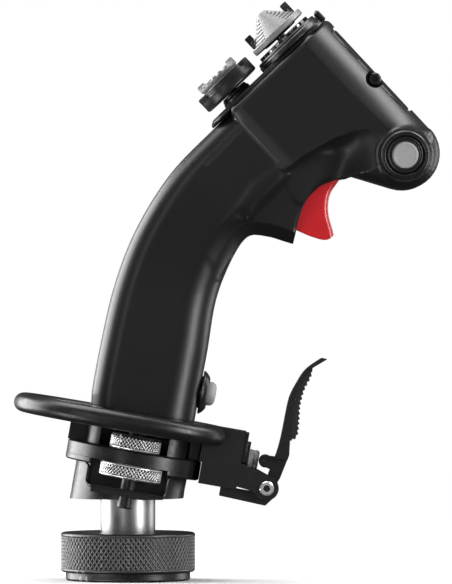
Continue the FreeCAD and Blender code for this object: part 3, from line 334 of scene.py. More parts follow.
def turned(profile, steps, change=None):
    """Points and faces of a closed (radius, height) outline turned about Z.

    Where change is given, change(angle, height) is added to the radius.
    """
    angles = np.linspace(0, 2 * math.pi, steps, endpoint=False)
    points = []
    for radius, height in profile:
        for angle in angles:
            grown = radius + (change(angle, height) if change and radius else 0)
            points.append((grown * math.cos(angle), grown * math.sin(angle), height))
    faces = []
    for row in range(len(profile)):
        above = (row + 1) % len(profile)
        if profile[row][0] or profile[above][0]:
            faces += ribbon(row * steps, above * steps, steps)
    return points, faces


def eased(profile, width=0.35):
    """The outline with each corner off the axis cut back into two small bevels."""
    out = []
    count = len(profile)
    for index, (radius, height) in enumerate(profile):
        if radius == 0:
            out.append((radius, height))
            continue
        corner = Vector((radius, height))
        before = Vector(profile[index - 1]) - corner
        after = Vector(profile[(index + 1) % count]) - corner
        cut = min(width, before.length * 0.4, after.length * 0.4)
        start = corner + before.normalized() * cut
        end = corner + after.normalized() * cut
        middle = (start + end) / 2 * 0.45 + corner * 0.55
        out += [tuple(start), tuple(middle), tuple(end)]
    return out


def lathe(name, profile, nodes, place=ROW, steps=96, ease=0.35, change=None, finish=None):
    """A turned piece whose corners are eased by up to ease millimetres."""
    points, faces = turned(eased(profile, ease), steps, change)
    drawn(name, points, faces, nodes, place, finish=finish)


# ---- the shell ---------------------------------------------------------------------------

def curved(points, steps=6):
    """A smooth line through a few points, by Catmull-Rom."""
    line = [Vector(point) for point in points]
    line = [line[0] * 2 - line[1]] + line + [line[-1] * 2 - line[-2]]
    out = []
    for before, start, end, after in zip(line, line[1:], line[2:], line[3:]):
        for step in range(steps):
            t = step / steps
            out.append(0.5 * ((2 * start) + (end - before) * t
                              + (2 * before - 5 * start + 4 * end - after) * t ** 2
                              + (3 * start - before - 3 * end + after) * t ** 3))
    return [tuple(point) for point in out] + [tuple(line[-2])]


def arc(center, radius, start, end, steps=16):
    """Points on a circle between two headings in radians."""
    return [(center[0] + radius * math.cos(start + (end - start) * step / steps),
             center[1] + radius * math.sin(start + (end - start) * step / steps))
            for step in range(steps + 1)]


def row_xz(place, along, height):
    """A spot on a frame's middle plane, as x and z in the upright frame."""
    spot = place @ Vector((along, 0, height))
    return spot.x, spot.z


def touching(center, radius, point, side):
    """Heading of the spot where a line from the point touches the circle."""
    away = math.atan2(point[1] - center[1], point[0] - center[0])
    reach = math.dist(point, center)
    return away + side * math.acos(radius / reach)


# Each outline is a closed run of stretches in the side view, (points, rim, lift): rim is the
# radius that rounds the stretch over to the sides, and lift leaves a crisp line where it ends.
FACE_LEVEL = 1.5
FOOT_LEVEL = 31.5
COLUMN_TOP = row_xz(FACE, -46, 0.4)
NOSE_CENTER, NOSE_RADIUS = (109.8, 170.4), 14.5
HEAD_TOP = row_xz(FACE, 16.8, FACE_LEVEL)
HEAD_BACK = row_xz(FACE, -37.2, 0)
RIDGE_END = (62.4, 163.2)
CHIN = (89.5, 161.4)
LIP = curved([(36.4, 121.6), (41.6, 129.9), (45.8, 135.4), (49.8, 138.0), (56.8, 137.2), (62.0, 135.6),
              (66.0, 134.4)])

REAR_FOOT, FRONT_FOOT = row_xz(GRIP, -20.4, FOOT_LEVEL), row_xz(GRIP, 21.4, FOOT_LEVEL)


def beyond(start, end, reach):
    """The point that lies past end, on the line from start."""
    length = math.dist(start, end)
    return tuple(last + (last - first) * reach / length for first, last in zip(start, end))


REAR_HEEL, FRONT_HEEL = beyond((-14.0, 77.6), REAR_FOOT, 20), beyond((29.2, 78.0), FRONT_FOOT, 20)
COLUMN_END = beyond((20.8, 166.8), COLUMN_TOP, 14)
COLUMN = [
    (curved([REAR_HEEL, REAR_FOOT, (-14.0, 77.6), (-10.6, 95.6), (-6.0, 115.6),
             (0.8, 134.8), (10.0, 152.0), (20.8, 166.8), COLUMN_TOP, COLUMN_END]), 8.5, 0),
    ([COLUMN_END, (66, 196), (72, 170), (64.8, 162.4)], 8, 0),
    (curved([(64.8, 162.4), (57.2, 154.6), (51.6, 148.8), (47.6, 143.4)]), 3, 0),
    (curved([(47.6, 143.4), (43.2, 134.0), (37.8, 120.0), (34.5, 108.8), (31.9, 92.4), (29.2, 78.0),
             FRONT_FOOT, FRONT_HEEL]), 12.5, 0),
    ([FRONT_HEEL, REAR_HEEL], 10, 0),
]
FRONT_WIDTH, FRONT_DEPTH = 14.5, 19.0
FRONT_RIM = (FRONT_WIDTH ** 2 + FRONT_DEPTH ** 2) / (2 * FRONT_WIDTH)
NOSE_FIRST = touching(NOSE_CENTER, NOSE_RADIUS, HEAD_TOP, -1)
NOSE_LAST = touching(NOSE_CENTER, NOSE_RADIUS, CHIN, 1)
if NOSE_LAST > NOSE_FIRST:
    NOSE_LAST -= 2 * math.pi
NOSE_ARC = arc(NOSE_CENTER, NOSE_RADIUS, NOSE_FIRST, NOSE_LAST)
HEAD_BACK_END = beyond(RIDGE_END, HEAD_BACK, 25)
HEAD_TOP_END = beyond(NOSE_ARC[0], HEAD_TOP, 25)
HEAD = [
    ([HEAD_BACK_END, HEAD_TOP_END], 8, 0),
    ([HEAD_TOP_END, NOSE_ARC[0]], FRONT_RIM, FRONT_RIM - FRONT_DEPTH),
    (NOSE_ARC, 10, 0),
    ([NOSE_ARC[-1], CHIN, (84.8, 161.0)], 8, 0),
    ([(84.8, 161.0), (76.0, 158.0), (68.8, 152.0), RIDGE_END], 3, 0),
    ([RIDGE_END, HEAD_BACK_END], 0.8, 0),
]
GUARD_ARC = curved([(66.0, 134.4), (67.6, 141.2), (69.6, 148.0), (73.2, 154.6), (79.0, 159.6),
                    (86.8, 161.2)])
GUARD = [
    (LIP, 0.8, 0),
    (GUARD_ARC, 1.3, 0),
    ([(86.8, 161.2), (94.0, 170.0), (70.0, 172.0), (50.0, 158.0), (30.0, 130.0), (36.4, 121.6)], 2, 0),
]
# Half widths across. The column flares towards the head, and a ridge of RIDGE_WIDTH, which
# starts RIDGE_LEVEL along the face, steps up from the one to the other.
COLUMN_HALF, HEAD_HALF, GUARD_HALF = 17.0, 23.5, 12.0
COLUMN_FLARE, FLARE_FOOT, FLARE_REACH = 4.5, 110, 55
RIDGE_LEVEL, RIDGE_WIDTH = -37.4, 3.4
# The guard leaves the column along a diagonal from RIDGE_END and thins over GUARD_REACH.
DIAGONAL_END, GUARD_REACH = (38.8, 143.2), 20.0
LIP_WIDTH = 4.6
# The wall's thickness, and each half's distance from the middle plane, where the two are joined.
WALL, JOINT_GAP = 2.5, 0.02
# The finger scoop's upper edge, how soon its side falls away, and where it fades out in front.
SCOOP_FALL, SCOOP_FADE_START, SCOOP_FADE_END = 4.5, 74.0, 102.0
SCOOP = [(40.0, 163.0), (62.4, 163.4), (68.8, 168.6), (76.8, 173.4), (82.0, 176.2), (90.0, 179.0),
         (130.0, 186.0)]
# Where the halves are screwed together: x, z, the side that the screw is driven from, and how
# far from the middle plane its head is seated. One is at the front, two are in the column.
SHELL_SCREWS = [(98.4, 200.0, -1, 9.5), (-1.0, 93.0, 1, 14.0), (20.0, 135.0, 1, 14.0)]
SCREW_BORE, HEAD_BORE, POST_RADIUS = 1.5, 3.7, 4.0
# The cover strip on the head's front, and the groove round it.
STRIP_HALF, STRIP_TOP, STRIP_FOOT, STRIP_DEPTH = 13.6, -4.0, -48.0, 0.45
GROOVE_HALF, GROOVE_DEPTH = 0.6, 1.0
# How softly the head, the guard and the nose button's boss run into the rest, and how round
# the ridge's edge and the edge round the thumb face are.
HEAD_BLEND, GUARD_BLEND, BOSS_BLEND = 1.6, 3.0, 1.5
RIDGE_RIM, FACE_RIM = 1.0, 2.8
# The neck's socket and the face plate's bed, each by its lowest corner, its highest corner and
# the rounding of its upright corners, in the frames GRIP and FACE.
NECK_SOCKET = (-17.6, -14, 23.5), (18.4, 14, 43.5), 8
FACE_BED = (-46.1, -21.1, 0.8), (14.7, 21.1, 9), 7
# The little-finger button: its height up the grip, its bore, and where in the column that starts.
PINKY_HEIGHT, PINKY_BORE, PINKY_START = 43.6, 6.5, 14
# The nose button's bore, and the boss that stands round it.
NOSE_BORE, NOSE_BORE_REACH, BOSS_RADIUS, BOSS_REACH = 9.86, 12, 10.7, 4.0
# The trigger's slot, in the side view and across.
TRIGGER_SLOT = [(60.5, 137.4), (72.0, 137.4), (84.0, 150.0), (90.0, 159.0), (88.0, 168.0),
                (70.0, 168.0), (60.5, 150.0)]
SLOT_HALF = 7.0
# The nose button's frame: its Z points out of the head's right side.
NOSE_AXIS = Vector((0.124, -0.985, -0.124)).to_track_quat("Z", "X")
NOSE = moved(110.2, -23, 169.6) @ NOSE_AXIS.to_matrix().to_4x4()


def trail_distance(trail, x, z):
    """Distance in the side view from each place to a line of points."""
    nearest = np.full(np.broadcast(x, z).shape, 1e9)
    for (ax, az), (bx, bz) in zip(trail, trail[1:]):
        run_x, run_z = bx - ax, bz - az
        length = run_x ** 2 + run_z ** 2
        if length == 0:
            continue
        t = np.clip(((x - ax) * run_x + (z - az) * run_z) / length, 0, 1)
        np.minimum(nearest, (x - ax - t * run_x) ** 2 + (z - az - t * run_z) ** 2, out=nearest)
    return np.sqrt(nearest)


def within(trail, x, z):
    """True inside the closed line of points."""
    inside = np.zeros(np.broadcast(x, z).shape, bool)
    for (ax, az), (bx, bz) in zip(trail, trail[1:] + trail[:1]):
        if az == bz:
            continue
        crossed = (az > z) != (bz > z)
        inside ^= crossed & (x < (bx - ax) * (z - az) / (bz - az) + ax)
    return inside


def outline_at(outline, x, z):
    """Signed distance, rim and lift at each place: the rim is that of the stretches nearby."""
    distances = [trail_distance(points, x, z) for points, _, _ in outline]
    trail = [point for points, _, _ in outline for point in points[:-1]]
    nearest = np.minimum.reduce(distances)
    weights = [1 / (distance + 0.4) ** 4 for distance in distances]
    total = sum(weights)
    rim = sum(weight * rim for weight, (_, rim, _) in zip(weights, outline)) / total
    lift = sum(weight * lift for weight, (_, _, lift) in zip(weights, outline)) / total
    return np.where(within(trail, x, z), -nearest, nearest), rim, lift


def met(first, second, rim):
    """Intersection of two distances with its edge rounded to the rim."""
    over, out = first + rim, second + rim
    corner = np.sqrt(np.maximum(over, 0) ** 2 + np.maximum(out, 0) ** 2)
    return corner + np.minimum(np.maximum(over, out), 0) - rim


def slab(outline, half, x, y, z):
    """Distance to a side outline made thick both ways, its rims rounded."""
    edge, rim, lift = outline_at(outline, x, z)
    return np.maximum(met(edge, np.abs(y) - half - lift, rim), np.abs(y) - half)


def merged(first, second, blend):
    """Union of two distances with a fillet where they meet."""
    near = np.maximum(blend - np.abs(first - second), 0) / blend
    return np.minimum(first, second) - near ** 2 * blend / 4


def across_row(place, x, y, z):
    """Coordinates of row points in a frame."""
    turn = np.array(place.inverted())
    return [turn[axis, 0] * x + turn[axis, 1] * y + turn[axis, 2] * z + turn[axis, 3] for axis in range(3)]


def brick(low, high, rounding, x, y, z):
    """Distance to a box whose upright corners are rounded."""
    gaps = []
    for value, start, end in zip((x, y, z), low, high):
        gaps.append(np.abs(value - (start + end) / 2) - (end - start) / 2)
    u, v = gaps[0] + rounding, gaps[1] + rounding
    plan = np.hypot(np.maximum(u, 0), np.maximum(v, 0)) + np.minimum(np.maximum(u, v), 0) - rounding
    return np.maximum(plan, gaps[2])


def eased_in(share):
    """0 to 1 as the share goes from 0 to 1, level at both ends."""
    share = np.clip(share, 0, 1)
    return share * share * (3 - 2 * share)


def scooped(x, y, z):
    """Distance to the finger scoop's surface: under its edge the head's side falls away."""
    edge_x, edge_z = zip(*SCOOP)
    fall = np.maximum(np.interp(x, edge_x, edge_z) - z, 0) * 0.84
    fade = eased_in((SCOOP_FADE_END - x) / (SCOOP_FADE_END - SCOOP_FADE_START))
    depth = (HEAD_HALF - GUARD_HALF) * (1 - np.exp(-fall / SCOOP_FALL)) * fade
    return (np.abs(y) - HEAD_HALF + depth) * 0.6


def column_half(z):
    """Half the column's width, which flares towards the head."""
    return COLUMN_HALF + COLUMN_FLARE * eased_in((z - FLARE_FOOT) / FLARE_REACH)


def guard_half(x, z):
    """Half the guard's width: flush with the column at the diagonal, thin at the trigger."""
    run = Vector(DIAGONAL_END) - Vector(RIDGE_END)
    run.normalize()
    away = -(x - RIDGE_END[0]) * run.y + (z - RIDGE_END[1]) * run.x
    softened = np.sqrt(away ** 2 + 4.0) / 2 + away / 2
    flush = column_half(z) - 0.5
    return flush - (flush - GUARD_HALF) * np.minimum(softened / GUARD_REACH, 1)


def skin(x, y, z):
    """Distance to the grip's outer form, before any opening is cut."""
    column = slab(COLUMN, column_half(z), x, y, z)
    head = np.maximum(slab(HEAD, HEAD_HALF, x, y, z), scooped(x, y, z))
    inward = across_row(FACE, x, y, z)[0] - RIDGE_LEVEL
    step = (HEAD_HALF - COLUMN_HALF - COLUMN_FLARE) / RIDGE_WIDTH
    ridge = (np.abs(y) - HEAD_HALF + step * (RIDGE_WIDTH - inward)) * 0.86
    head = met(head, ridge, RIDGE_RIM)
    thick = guard_half(x, z)
    guard = slab(GUARD, thick, x, y, z)
    under = (np.abs(y) - thick + 1.25 * (LIP_WIDTH - trail_distance(LIP, x, z))) / 1.6
    guard = np.maximum(guard, under)
    body = merged(merged(column, head, HEAD_BLEND), guard, GUARD_BLEND)
    height = across_row(GRIP, x, y, z)[2]
    body = np.maximum(body, FOOT_LEVEL - height)
    body = met(body, across_row(FACE, x, y, z)[2] - FACE_LEVEL, FACE_RIM)
    first, second, outward = across_row(NOSE, x, y, z)
    boss = np.maximum(np.hypot(first, second) - BOSS_RADIUS, np.abs(outward + BOSS_REACH) - BOSS_REACH)
    return merged(body, boss, BOSS_BLEND)


def cover_strip(outer, x, y, z):
    """The shallow strip let into the head's front, with a groove all round it."""
    along, _, out = across_row(FACE, x, y, z)
    side = np.abs(y) - STRIP_HALF
    ends = np.abs(out - (STRIP_TOP + STRIP_FOOT) / 2) - (STRIP_TOP - STRIP_FOOT) / 2
    plan = np.maximum(side, ends)
    front = 4 - along
    floor = np.maximum(np.maximum(-outer - STRIP_DEPTH, plan), front)
    groove = np.maximum(np.maximum(-outer - GROOVE_DEPTH, np.abs(plan) - GROOVE_HALF), front)
    return np.minimum(floor, groove)


def cut(shell, tool):
    """What is left of the shell outside the tool."""
    return np.maximum(shell, -tool)


def screw_ways(shell, side, x, y, z):
    """The shell with a bore in each screw post, and a counterbore where this half holds the head."""
    for screw_x, screw_z, drive, seat in SHELL_SCREWS:
        post = np.hypot(x - screw_x, z - screw_z)
        shell = cut(shell, np.maximum(post - SCREW_BORE, np.abs(y) - 8.0))
        if drive == side:
            shell = cut(shell, np.maximum(post - SCREW_BORE, np.abs(y) - seat - 0.5))
            shell = cut(shell, np.maximum(post - HEAD_BORE, seat - np.abs(y)))
    return shell


def shell_half(side):
    """The distance function of one half: side is -1 for the right and 1 for the left."""
    def distance(x, y, z):
        outer = skin(x, y, z)
        cavity = outer + WALL
        for screw_x, screw_z, _, _ in SHELL_SCREWS:
            cavity = cut(cavity, np.hypot(x - screw_x, z - screw_z) - POST_RADIUS)
        shell = screw_ways(cut(outer, cavity), side, x, y, z)
        shell = cut(shell, cover_strip(outer, x, y, z))
        slot = trail_distance(TRIGGER_SLOT + TRIGGER_SLOT[:1], x, z)
        slot = np.where(within(TRIGGER_SLOT, x, z), -1, 1) * slot
        shell = cut(shell, np.maximum(slot, np.abs(y) - SLOT_HALF))
        # the socket for the neck, and the little-finger button's way in
        along, across, up = across_row(GRIP, x, y, z)
        shell = cut(shell, brick(*NECK_SOCKET, along, across, up))
        way = np.hypot(across, up - PINKY_HEIGHT) - PINKY_BORE
        shell = cut(shell, np.maximum(way, PINKY_START - along))
        # the bed of the face plate
        along, across, up = across_row(FACE, x, y, z)
        shell = cut(shell, brick(*FACE_BED, along, across, up))
        # the nose button's hole
        first, second, outward = across_row(NOSE, x, y, z)
        bore = np.hypot(first, second) - NOSE_BORE
        shell = cut(shell, np.maximum(bore, np.abs(outward) - NOSE_BORE_REACH))
        return np.maximum(shell, JOINT_GAP - side * y)

    return distance


def crossings(distance, axes, field, axis):
    """Where the grid's edges along one axis cross the surface: edges, spots and normals."""
    inside = field < 0
    low, high = [slice(None)] * 3, [slice(None)] * 3
    low[axis], high[axis] = slice(None, -1), slice(1, None)
    index = np.argwhere(inside[tuple(low)] != inside[tuple(high)])
    other = [place for place in range(3) if place != axis]
    size = np.array(field.shape)[other]
    index = index[np.all((index[:, other] > 0) & (index[:, other] < size - 1), axis=1)]
    ahead = index.copy()
    ahead[:, axis] += 1
    start = np.stack([axes[place][index[:, place]] for place in range(3)], 1)
    end = np.stack([axes[place][ahead[:, place]] for place in range(3)], 1)
    at_start, at_end = field[tuple(index.T)], field[tuple(ahead.T)]
    for _ in range(3):
        share = np.clip(at_start / (at_start - at_end), 0.02, 0.98)[:, None]
        middle = start + (end - start) * share
        at_middle = distance(*middle.T)
        same = (at_middle < 0) == (at_start < 0)
        start[same], at_start[same] = middle[same], at_middle[same]
        end[~same], at_end[~same] = middle[~same], at_middle[~same]
    share = np.clip(at_start / (at_start - at_end), 0, 1)[:, None]
    spot = start + (end - start) * share
    nudges = 0.02 * np.eye(3)
    normal = np.stack([distance(*(spot + nudge).T) - distance(*(spot - nudge).T) for nudge in nudges], 1)
    normal /= np.maximum(np.linalg.norm(normal, axis=1, keepdims=True), 1e-9)
    return index, spot, normal


def cells_round(index, axis, shape):
    """The four cells round each edge along the axis, in turning order, as numbers."""
    other = [place for place in range(3) if place != axis]
    numbers = []
    for back, down in ((1, 1), (0, 1), (0, 0), (1, 0)):
        cell = index.copy()
        cell[:, other[0]] -= back
        cell[:, other[1]] -= down
        numbers.append(cell @ np.array([shape[1] * shape[2], shape[2], 1]))
    return numbers


def fitted(cells, spots, normals):
    """Each cell's vertex: the point nearest to all the surface planes that cross the cell."""
    used, cell = np.unique(cells, return_inverse=True)
    count = np.bincount(cell)[:, None]
    center = np.stack([np.bincount(cell, spots[:, place]) for place in range(3)], 1) / count
    offset = np.einsum("ij,ij->i", normals, spots - center[cell])
    pull = np.stack([np.bincount(cell, normals[:, place] * offset) for place in range(3)], 1)
    spread = np.zeros((len(used), 3, 3))
    for row in range(3):
        for column in range(3):
            spread[:, row, column] = np.bincount(cell, normals[:, row] * normals[:, column])
    spread += np.eye(3) * 0.06 * count[:, :, None]
    return used, center + np.linalg.solve(spread, pull[:, :, None])[:, :, 0]


def contoured(distance, xs, ys, zs):
    """The surface of a distance function, by dual contouring: vertices and four-sided faces."""
    axes = (xs, ys, zs)
    shape = (len(xs), len(ys), len(zs))
    grid = [axis.reshape([-1 if place == index else 1 for place in range(3)])
            for index, axis in enumerate(axes)]
    field = np.broadcast_to(distance(*grid), shape)
    cells, spots, normals, quads = [], [], [], []
    for axis in range(3):
        index, spot, normal = crossings(distance, axes, field, axis)
        numbers = cells_round(index, axis, shape)
        quad = np.stack(numbers, 1)
        leaving = (field[tuple(index.T)] < 0) != (axis == 1)
        quad[~leaving] = quad[~leaving][:, ::-1]
        quads.append(quad)
        cells += numbers
        spots += [spot] * 4
        normals += [normal] * 4
    used, vertex = fitted(*map(np.concatenate, (cells, spots, normals)))
    position = np.stack(np.unravel_index(used, shape), 1)
    for place, axis in enumerate(axes):
        lowest = axis[position[:, place]]
        highest = axis[np.minimum(position[:, place] + 1, len(axis) - 1)]
        vertex[:, place] = np.clip(vertex[:, place], lowest, highest)
    return vertex, np.searchsorted(used, np.concatenate(quads))


def make_shell():
    """Both halves of the grip, each one form, with the joint between them on the middle plane."""
    step = 0.7
    xs = np.arange(-17.5, 127, step)
    zs = np.arange(60.0, 227, step)
    for side, node in ((-1, "grip_shell_right"), (1, "grip_shell_left")):
        ys = side * np.concatenate([[-0.6, -0.1, 0.15, 0.6], np.arange(1.2, 27, step)])
        vertex, quads = contoured(shell_half(side), xs, ys[::side], zs)
        mesh = bpy.data.meshes.new(node + "_moulding")
        mesh.from_pydata((vertex * MM).tolist(), [], quads.tolist())
        with edited(mesh) as shape:
            bmesh.ops.recalc_face_normals(shape, faces=shape.faces)
        finished(node + "_moulding", mesh, [node], crease=30)


make_shell()


# ---- knurled parts -----------------------------------------------------------------------

KNURL_STEP = 0.2


def knurl(count, pitch_up, depth, ridge, low, high):
    """Crossing ridges, count of them round, each a share of the pitch wide, from low to high."""
    def change(angle, height):
        if not low < height < high:
            return 0
        crest = 0
        for lean in (1, -1):
            phase = count * angle / (2 * math.pi) + lean * height / pitch_up
            away = abs((phase + 0.5) % 1 - 0.5) * 2
            crest = max(crest, 1 - away / ridge)
        return depth * (max(crest, 0) - 1)
    return change


def knurled(name, node, profile, band, radius, pitch, depth, ridge, place=ROW, finish=None):
    """A turned part, diamond knurled in a band of its wall at the radius: pitch is (round, up)."""
    low, high = band
    count = round(2 * math.pi * radius / pitch[0])
    rows = eased(profile, 0.3)
    foot, top = [index for index, (reach, _) in enumerate(rows) if abs(reach - radius) < 1e-6]
    wall = [(radius, height) for height in np.arange(low, high + KNURL_STEP / 2, KNURL_STEP)]
    steps = count * round(pitch[0] / KNURL_STEP)
    pattern = knurl(count, pitch[1], depth, ridge, low, high)
    points, faces = turned(rows[:foot + 1] + wall + rows[top:], steps, pattern)
    drawn(name, points, faces, [node], place, crease=70, finish=finish)


def make_knurled_parts():
    """The coupling collar, and the two wheels on the palm rest's stud."""
    outer, lip, thread, bore = 26.9, 24.9, 17.0, 10.98
    knurled("coupling_nut_knurled", "coupling_nut", [
        (thread, 0), (lip - 0.7, 0), (lip, 0.7), (lip, 3.4), (outer - 0.7, 3.4), (outer, 4.1),
        (outer, 18.5), (outer - 0.7, 19.2), (bore, 19.2), (bore, 15.2), (thread + 0.6, 15.2),
        (thread + 0.6, 9), (thread, 9),
    ], (4.6, 18.0), outer, (2.0, 2.8), 0.45, 0.42)
    stud = 3.14
    for node, radius, foot, top in (("height_wheel", 10.1, 16.45, 22.4), ("lock_wheel", 12.4, 5.1, 10.75)):
        knurled(node + "_knurled", node, [
            (stud, foot), (radius - 0.5, foot), (radius, foot + 0.5), (radius, top - 0.5),
            (radius - 0.5, top), (stud, top),
        ], (foot + 0.8, top - 0.8), radius, (1.5, 1.7), 0.55, 0.5, ADJUSTER, "knurled_steel")


make_knurled_parts()


# ---- screws and small turned parts -------------------------------------------------------

def gathered(name, copies, nodes, place=ROW):
    """Several pieces as one mesh: copies are (points, faces, where)."""
    points, faces = [], []
    for part_points, part_faces, where in copies:
        start = len(points)
        points += [tuple(where @ Vector(point)) for point in part_points]
        faces += [tuple(start + corner for corner in face) for face in part_faces]
    drawn(name, points, faces, nodes, place, crease=30)


SOCKET_REACH = 1.15


def hexagon(floor, top):
    """Turns a round socket between two heights into a six-sided one."""
    def change(angle, height):
        if not floor - 0.01 < height < top + 0.01:
            return 0
        turn = (angle % (math.pi / 3)) - math.pi / 6
        return SOCKET_REACH * (math.cos(math.pi / 6) / math.cos(turn) - 1)
    return change


def socket_screw(radius, height, shank, reach, socket):
    """A cap screw along Z: its head stands from 0 to height and its shank hangs below."""
    floor, top = height - 1.4, height - 0.02
    profile = [(0, -reach), (shank, -reach), (shank, 0), (radius, 0), (radius, height - 0.6),
               (radius - 0.25, height - 0.15), (radius - 0.6, height), (socket + 0.12, height),
               (socket, top), (socket, floor), (0, floor)]
    return turned(profile, 48, hexagon(floor, top))


def aside(x, y, z, side):
    """A place whose Z points out of the grip's side."""
    return moved(x, y, z) @ spun(-90 * side, "X")


def make_screws():
    """The screws of the shell, of the base flange and of the tube's clamp."""
    solid = socket_screw(2.7, 2.6, 1.45, 18, 1.4)
    copies = [(*solid, aside(x, side * seat, z, side)) for x, z, side, seat in SHELL_SCREWS]
    gathered("shell_screws_socketed", copies, ["shell_screws"])
    solid = socket_screw(2.1, 2.0, 1.5, 6.4, 1.1)
    copies = [(*solid, spun(heading, "Z") @ moved(24.7, 0, 8.6) @ spun(180, "X"))
              for heading in (40, 90, 140)]
    gathered("flange_screws_socketed", copies, ["flange_screws"], GRIP)
    solid = turned([
        (0, -9.5), (1.6, -9.5), (2, -9.1), (2, -0.3), (1.8, 0), (1.2, 0), (SOCKET_REACH, -0.02),
        (SOCKET_REACH, -1.6), (0, -1.6),
    ], 48, hexagon(-1.6, -0.02))
    copies = [(*solid, spun(heading, "Z") @ moved(20.5, 0, 36) @ FORWARD) for heading in (0, 90, 180)]
    gathered("set_screws_socketed", copies, ["set_screws"])


def make_turned_parts():
    """The extension tube, the palm rest's stud, the paddle's plunger and its roller."""
    lathe("extension_shaft_tube", [
        (7.5, 14.2), (10.9, 14.2), (10.9, 38.8), (10.3, 39.5), (7.5, 39.5),
    ], ["extension_shaft"], steps=160, finish="drawn_steel")
    lathe("height_stud_slotted", [
        (0, -5.8), (0.9, -5.8), (1.0, -6.8), (2.5, -6.8), (3.1, -6.2), (3.1, 23.2), (3.8, 23.2),
        (3.8, 25), (0, 25),
    ], ["height_stud"], ADJUSTER, ease=0.2)
    plunger = GRIP @ moved(0, 0, 20.8) @ FORWARD
    lathe("paddle_plunger_cap", [
        (0, 38), (3.84, 38), (3.84, 46.6), (3.6, 46.8), (3.6, 47.2), (3.84, 47.4), (3.84, 48.6),
        (3.3, 49.3), (0, 49.3),
    ], ["paddle_plunger"], plunger, ease=0.2)
    roller = GRIP @ moved(52, 0, 21) @ spun(90, "X")
    lathe("paddle_roller_grooved", [
        (0, -6.3), (0.9, -6.3), (0.9, -4), (2.2, -4), (2.6, -3.6), (2.6, -0.5), (2.4, -0.3), (2.4, 0.3),
        (2.6, 0.5), (2.6, 3.6), (2.2, 4), (0.9, 4), (0.9, 6.3), (0, 6.3),
    ], ["paddle_roller"], roller, ease=0.15)


make_screws()
make_turned_parts()


# ---- buttons -----------------------------------------------------------------------------

def make_buttons():
    """The little-finger button in its dome, and the nose button in its two rings."""
    pinky = GRIP @ moved(0, 0, PINKY_HEIGHT) @ FORWARD
    lathe("pinky_bezel_dome", [
        (4.88, 17), (6.4, 17), (6.4, 21.8), (8.7, 21.8), (8.6, 22.5), (7.9, 23.4), (6.9, 24.3),
        (5.9, 24.8), (4.88, 24.8),
    ], ["pinky_bezel"], pinky)
    lathe("pinky_button_cap", [
        (0, 17.5), (4.8, 17.5), (4.8, 25.6), (4.6, 26.6), (3.9, 27.5), (2.6, 27.9), (0, 28),
    ], ["pinky_button"], pinky)
    lathe("nose_bezel_ring", [
        (7.7, -5), (9.8, -5), (9.8, 0.7), (9.2, 1.4), (8.9, 1.4), (8.75, 1.15), (8.6, 1.4), (8.1, 1.4),
        (7.7, 0.9),
    ], ["nose_bezel"], NOSE, ease=0.2)
    lathe("nose_collar_sleeve", [
        (5.38, -5), (7.6, -5), (7.6, 0.1), (7.0, 0.6), (6.5, 0.6), (6.3, 0.35), (6.1, 0.6), (5.38, 0.6),
    ], ["nose_collar"], NOSE, ease=0.15)
    lathe("nose_button_cap", [
        (0, -3.5), (5.3, -3.5), (5.3, 1.1), (4.9, 1.5), (4.4, 1.6), (4.1, 1.45), (0, 1.4),
    ], ["nose_button"], NOSE, ease=0.2)


make_buttons()


# ---- thumb face and hats -----------------------------------------------------------------

# Where each hat stands on the thumb face, along it and across it.
HATS = {"trim_hat": (-1.4, -8), "crown_hat": (-1, 17.5), "castle_hat": (-30.3, -9.5),
        "grey_hat": (-30.3, 14)}


def spot_of(hat):
    """The hat's frame: its Z is the axis of the hat's turned parts."""
    along, across = HATS[hat]
    return FACE @ moved(along, across, 0)


def rounded_plan(half_x, half_y, corner):
    """A rounded rectangle's points, anticlockwise about the origin."""
    out = []
    for quarter, (side_x, side_y) in enumerate(((1, 1), (-1, 1), (-1, -1), (1, -1))):
        center = (side_x * (half_x - corner), side_y * (half_y - corner))
        out += arc(center, corner, quarter * math.pi / 2, (quarter + 1) * math.pi / 2, 8)
    return out


def stacked(name, layers, half_x, half_y, corner, nodes, place):
    """A plate of rounded rectangles, one above the other: layers are (inset, height)."""
    points = []
    for inset, height in layers:
        plan = rounded_plan(half_x - inset, half_y - inset, max(corner - inset, 0.5))
        points += [(x, y, height) for x, y in plan]
    drawn(name, points, closed(points, len(plan)), nodes, place)


def make_face_plate():
    """The stepped plate that carries the hats, and the stop block at its nose end."""
    back, front, half = -46, 14.6, 21
    stacked("face_plate_stop", [(0.2, 1.4), (0, 1.7), (0, 5.6), (0.5, 6.2), (1.0, 6.4)],
            1.1, 8.5, 0.9, ["face_plate"], FACE @ moved(15.4, 0, 0))
    stacked("face_plate_layers", [
        (0.25, 0.8), (0, 1.0), (0, 1.55), (0.2, 1.7), (0.55, 1.72), (0.6, 1.9), (0.6, 2.1), (0.8, 2.2),
        (1.3, 2.22), (1.35, 2.4), (1.35, 2.5), (1.5, 2.64),
    ], (front - back) / 2, half, 7, ["face_plate"], FACE @ moved((back + front) / 2, 0, 0))


def teeth_between(count, share, first=0.0):
    """A 0 or 1 wave round the circle: 1 on each tooth, share of the pitch wide."""
    def tooth(angle):
        turn = ((angle - first) / (2 * math.pi) * count + 0.5) % 1 - 0.5
        return 1 if abs(turn) < share / 2 else 0
    return tooth


def make_hat_bases():
    """Each hat's round pedestal on the plate."""
    for hat in HATS:
        wall, top = (15.2, 6.0) if hat == "trim_hat" else (6.4, 5.6)
        lathe(hat + "_base_turned", [
            (5.1, 2.64), (wall, 2.64), (wall, top - 1.6), (wall - 0.5, top - 1.1), (wall - 0.5, top - 0.4),
            (wall - 0.9, top), (2.9, top), (2.9, 5.2), (5.1, 5.2),
        ], [hat + "_base"], spot_of(hat), ease=0.12)


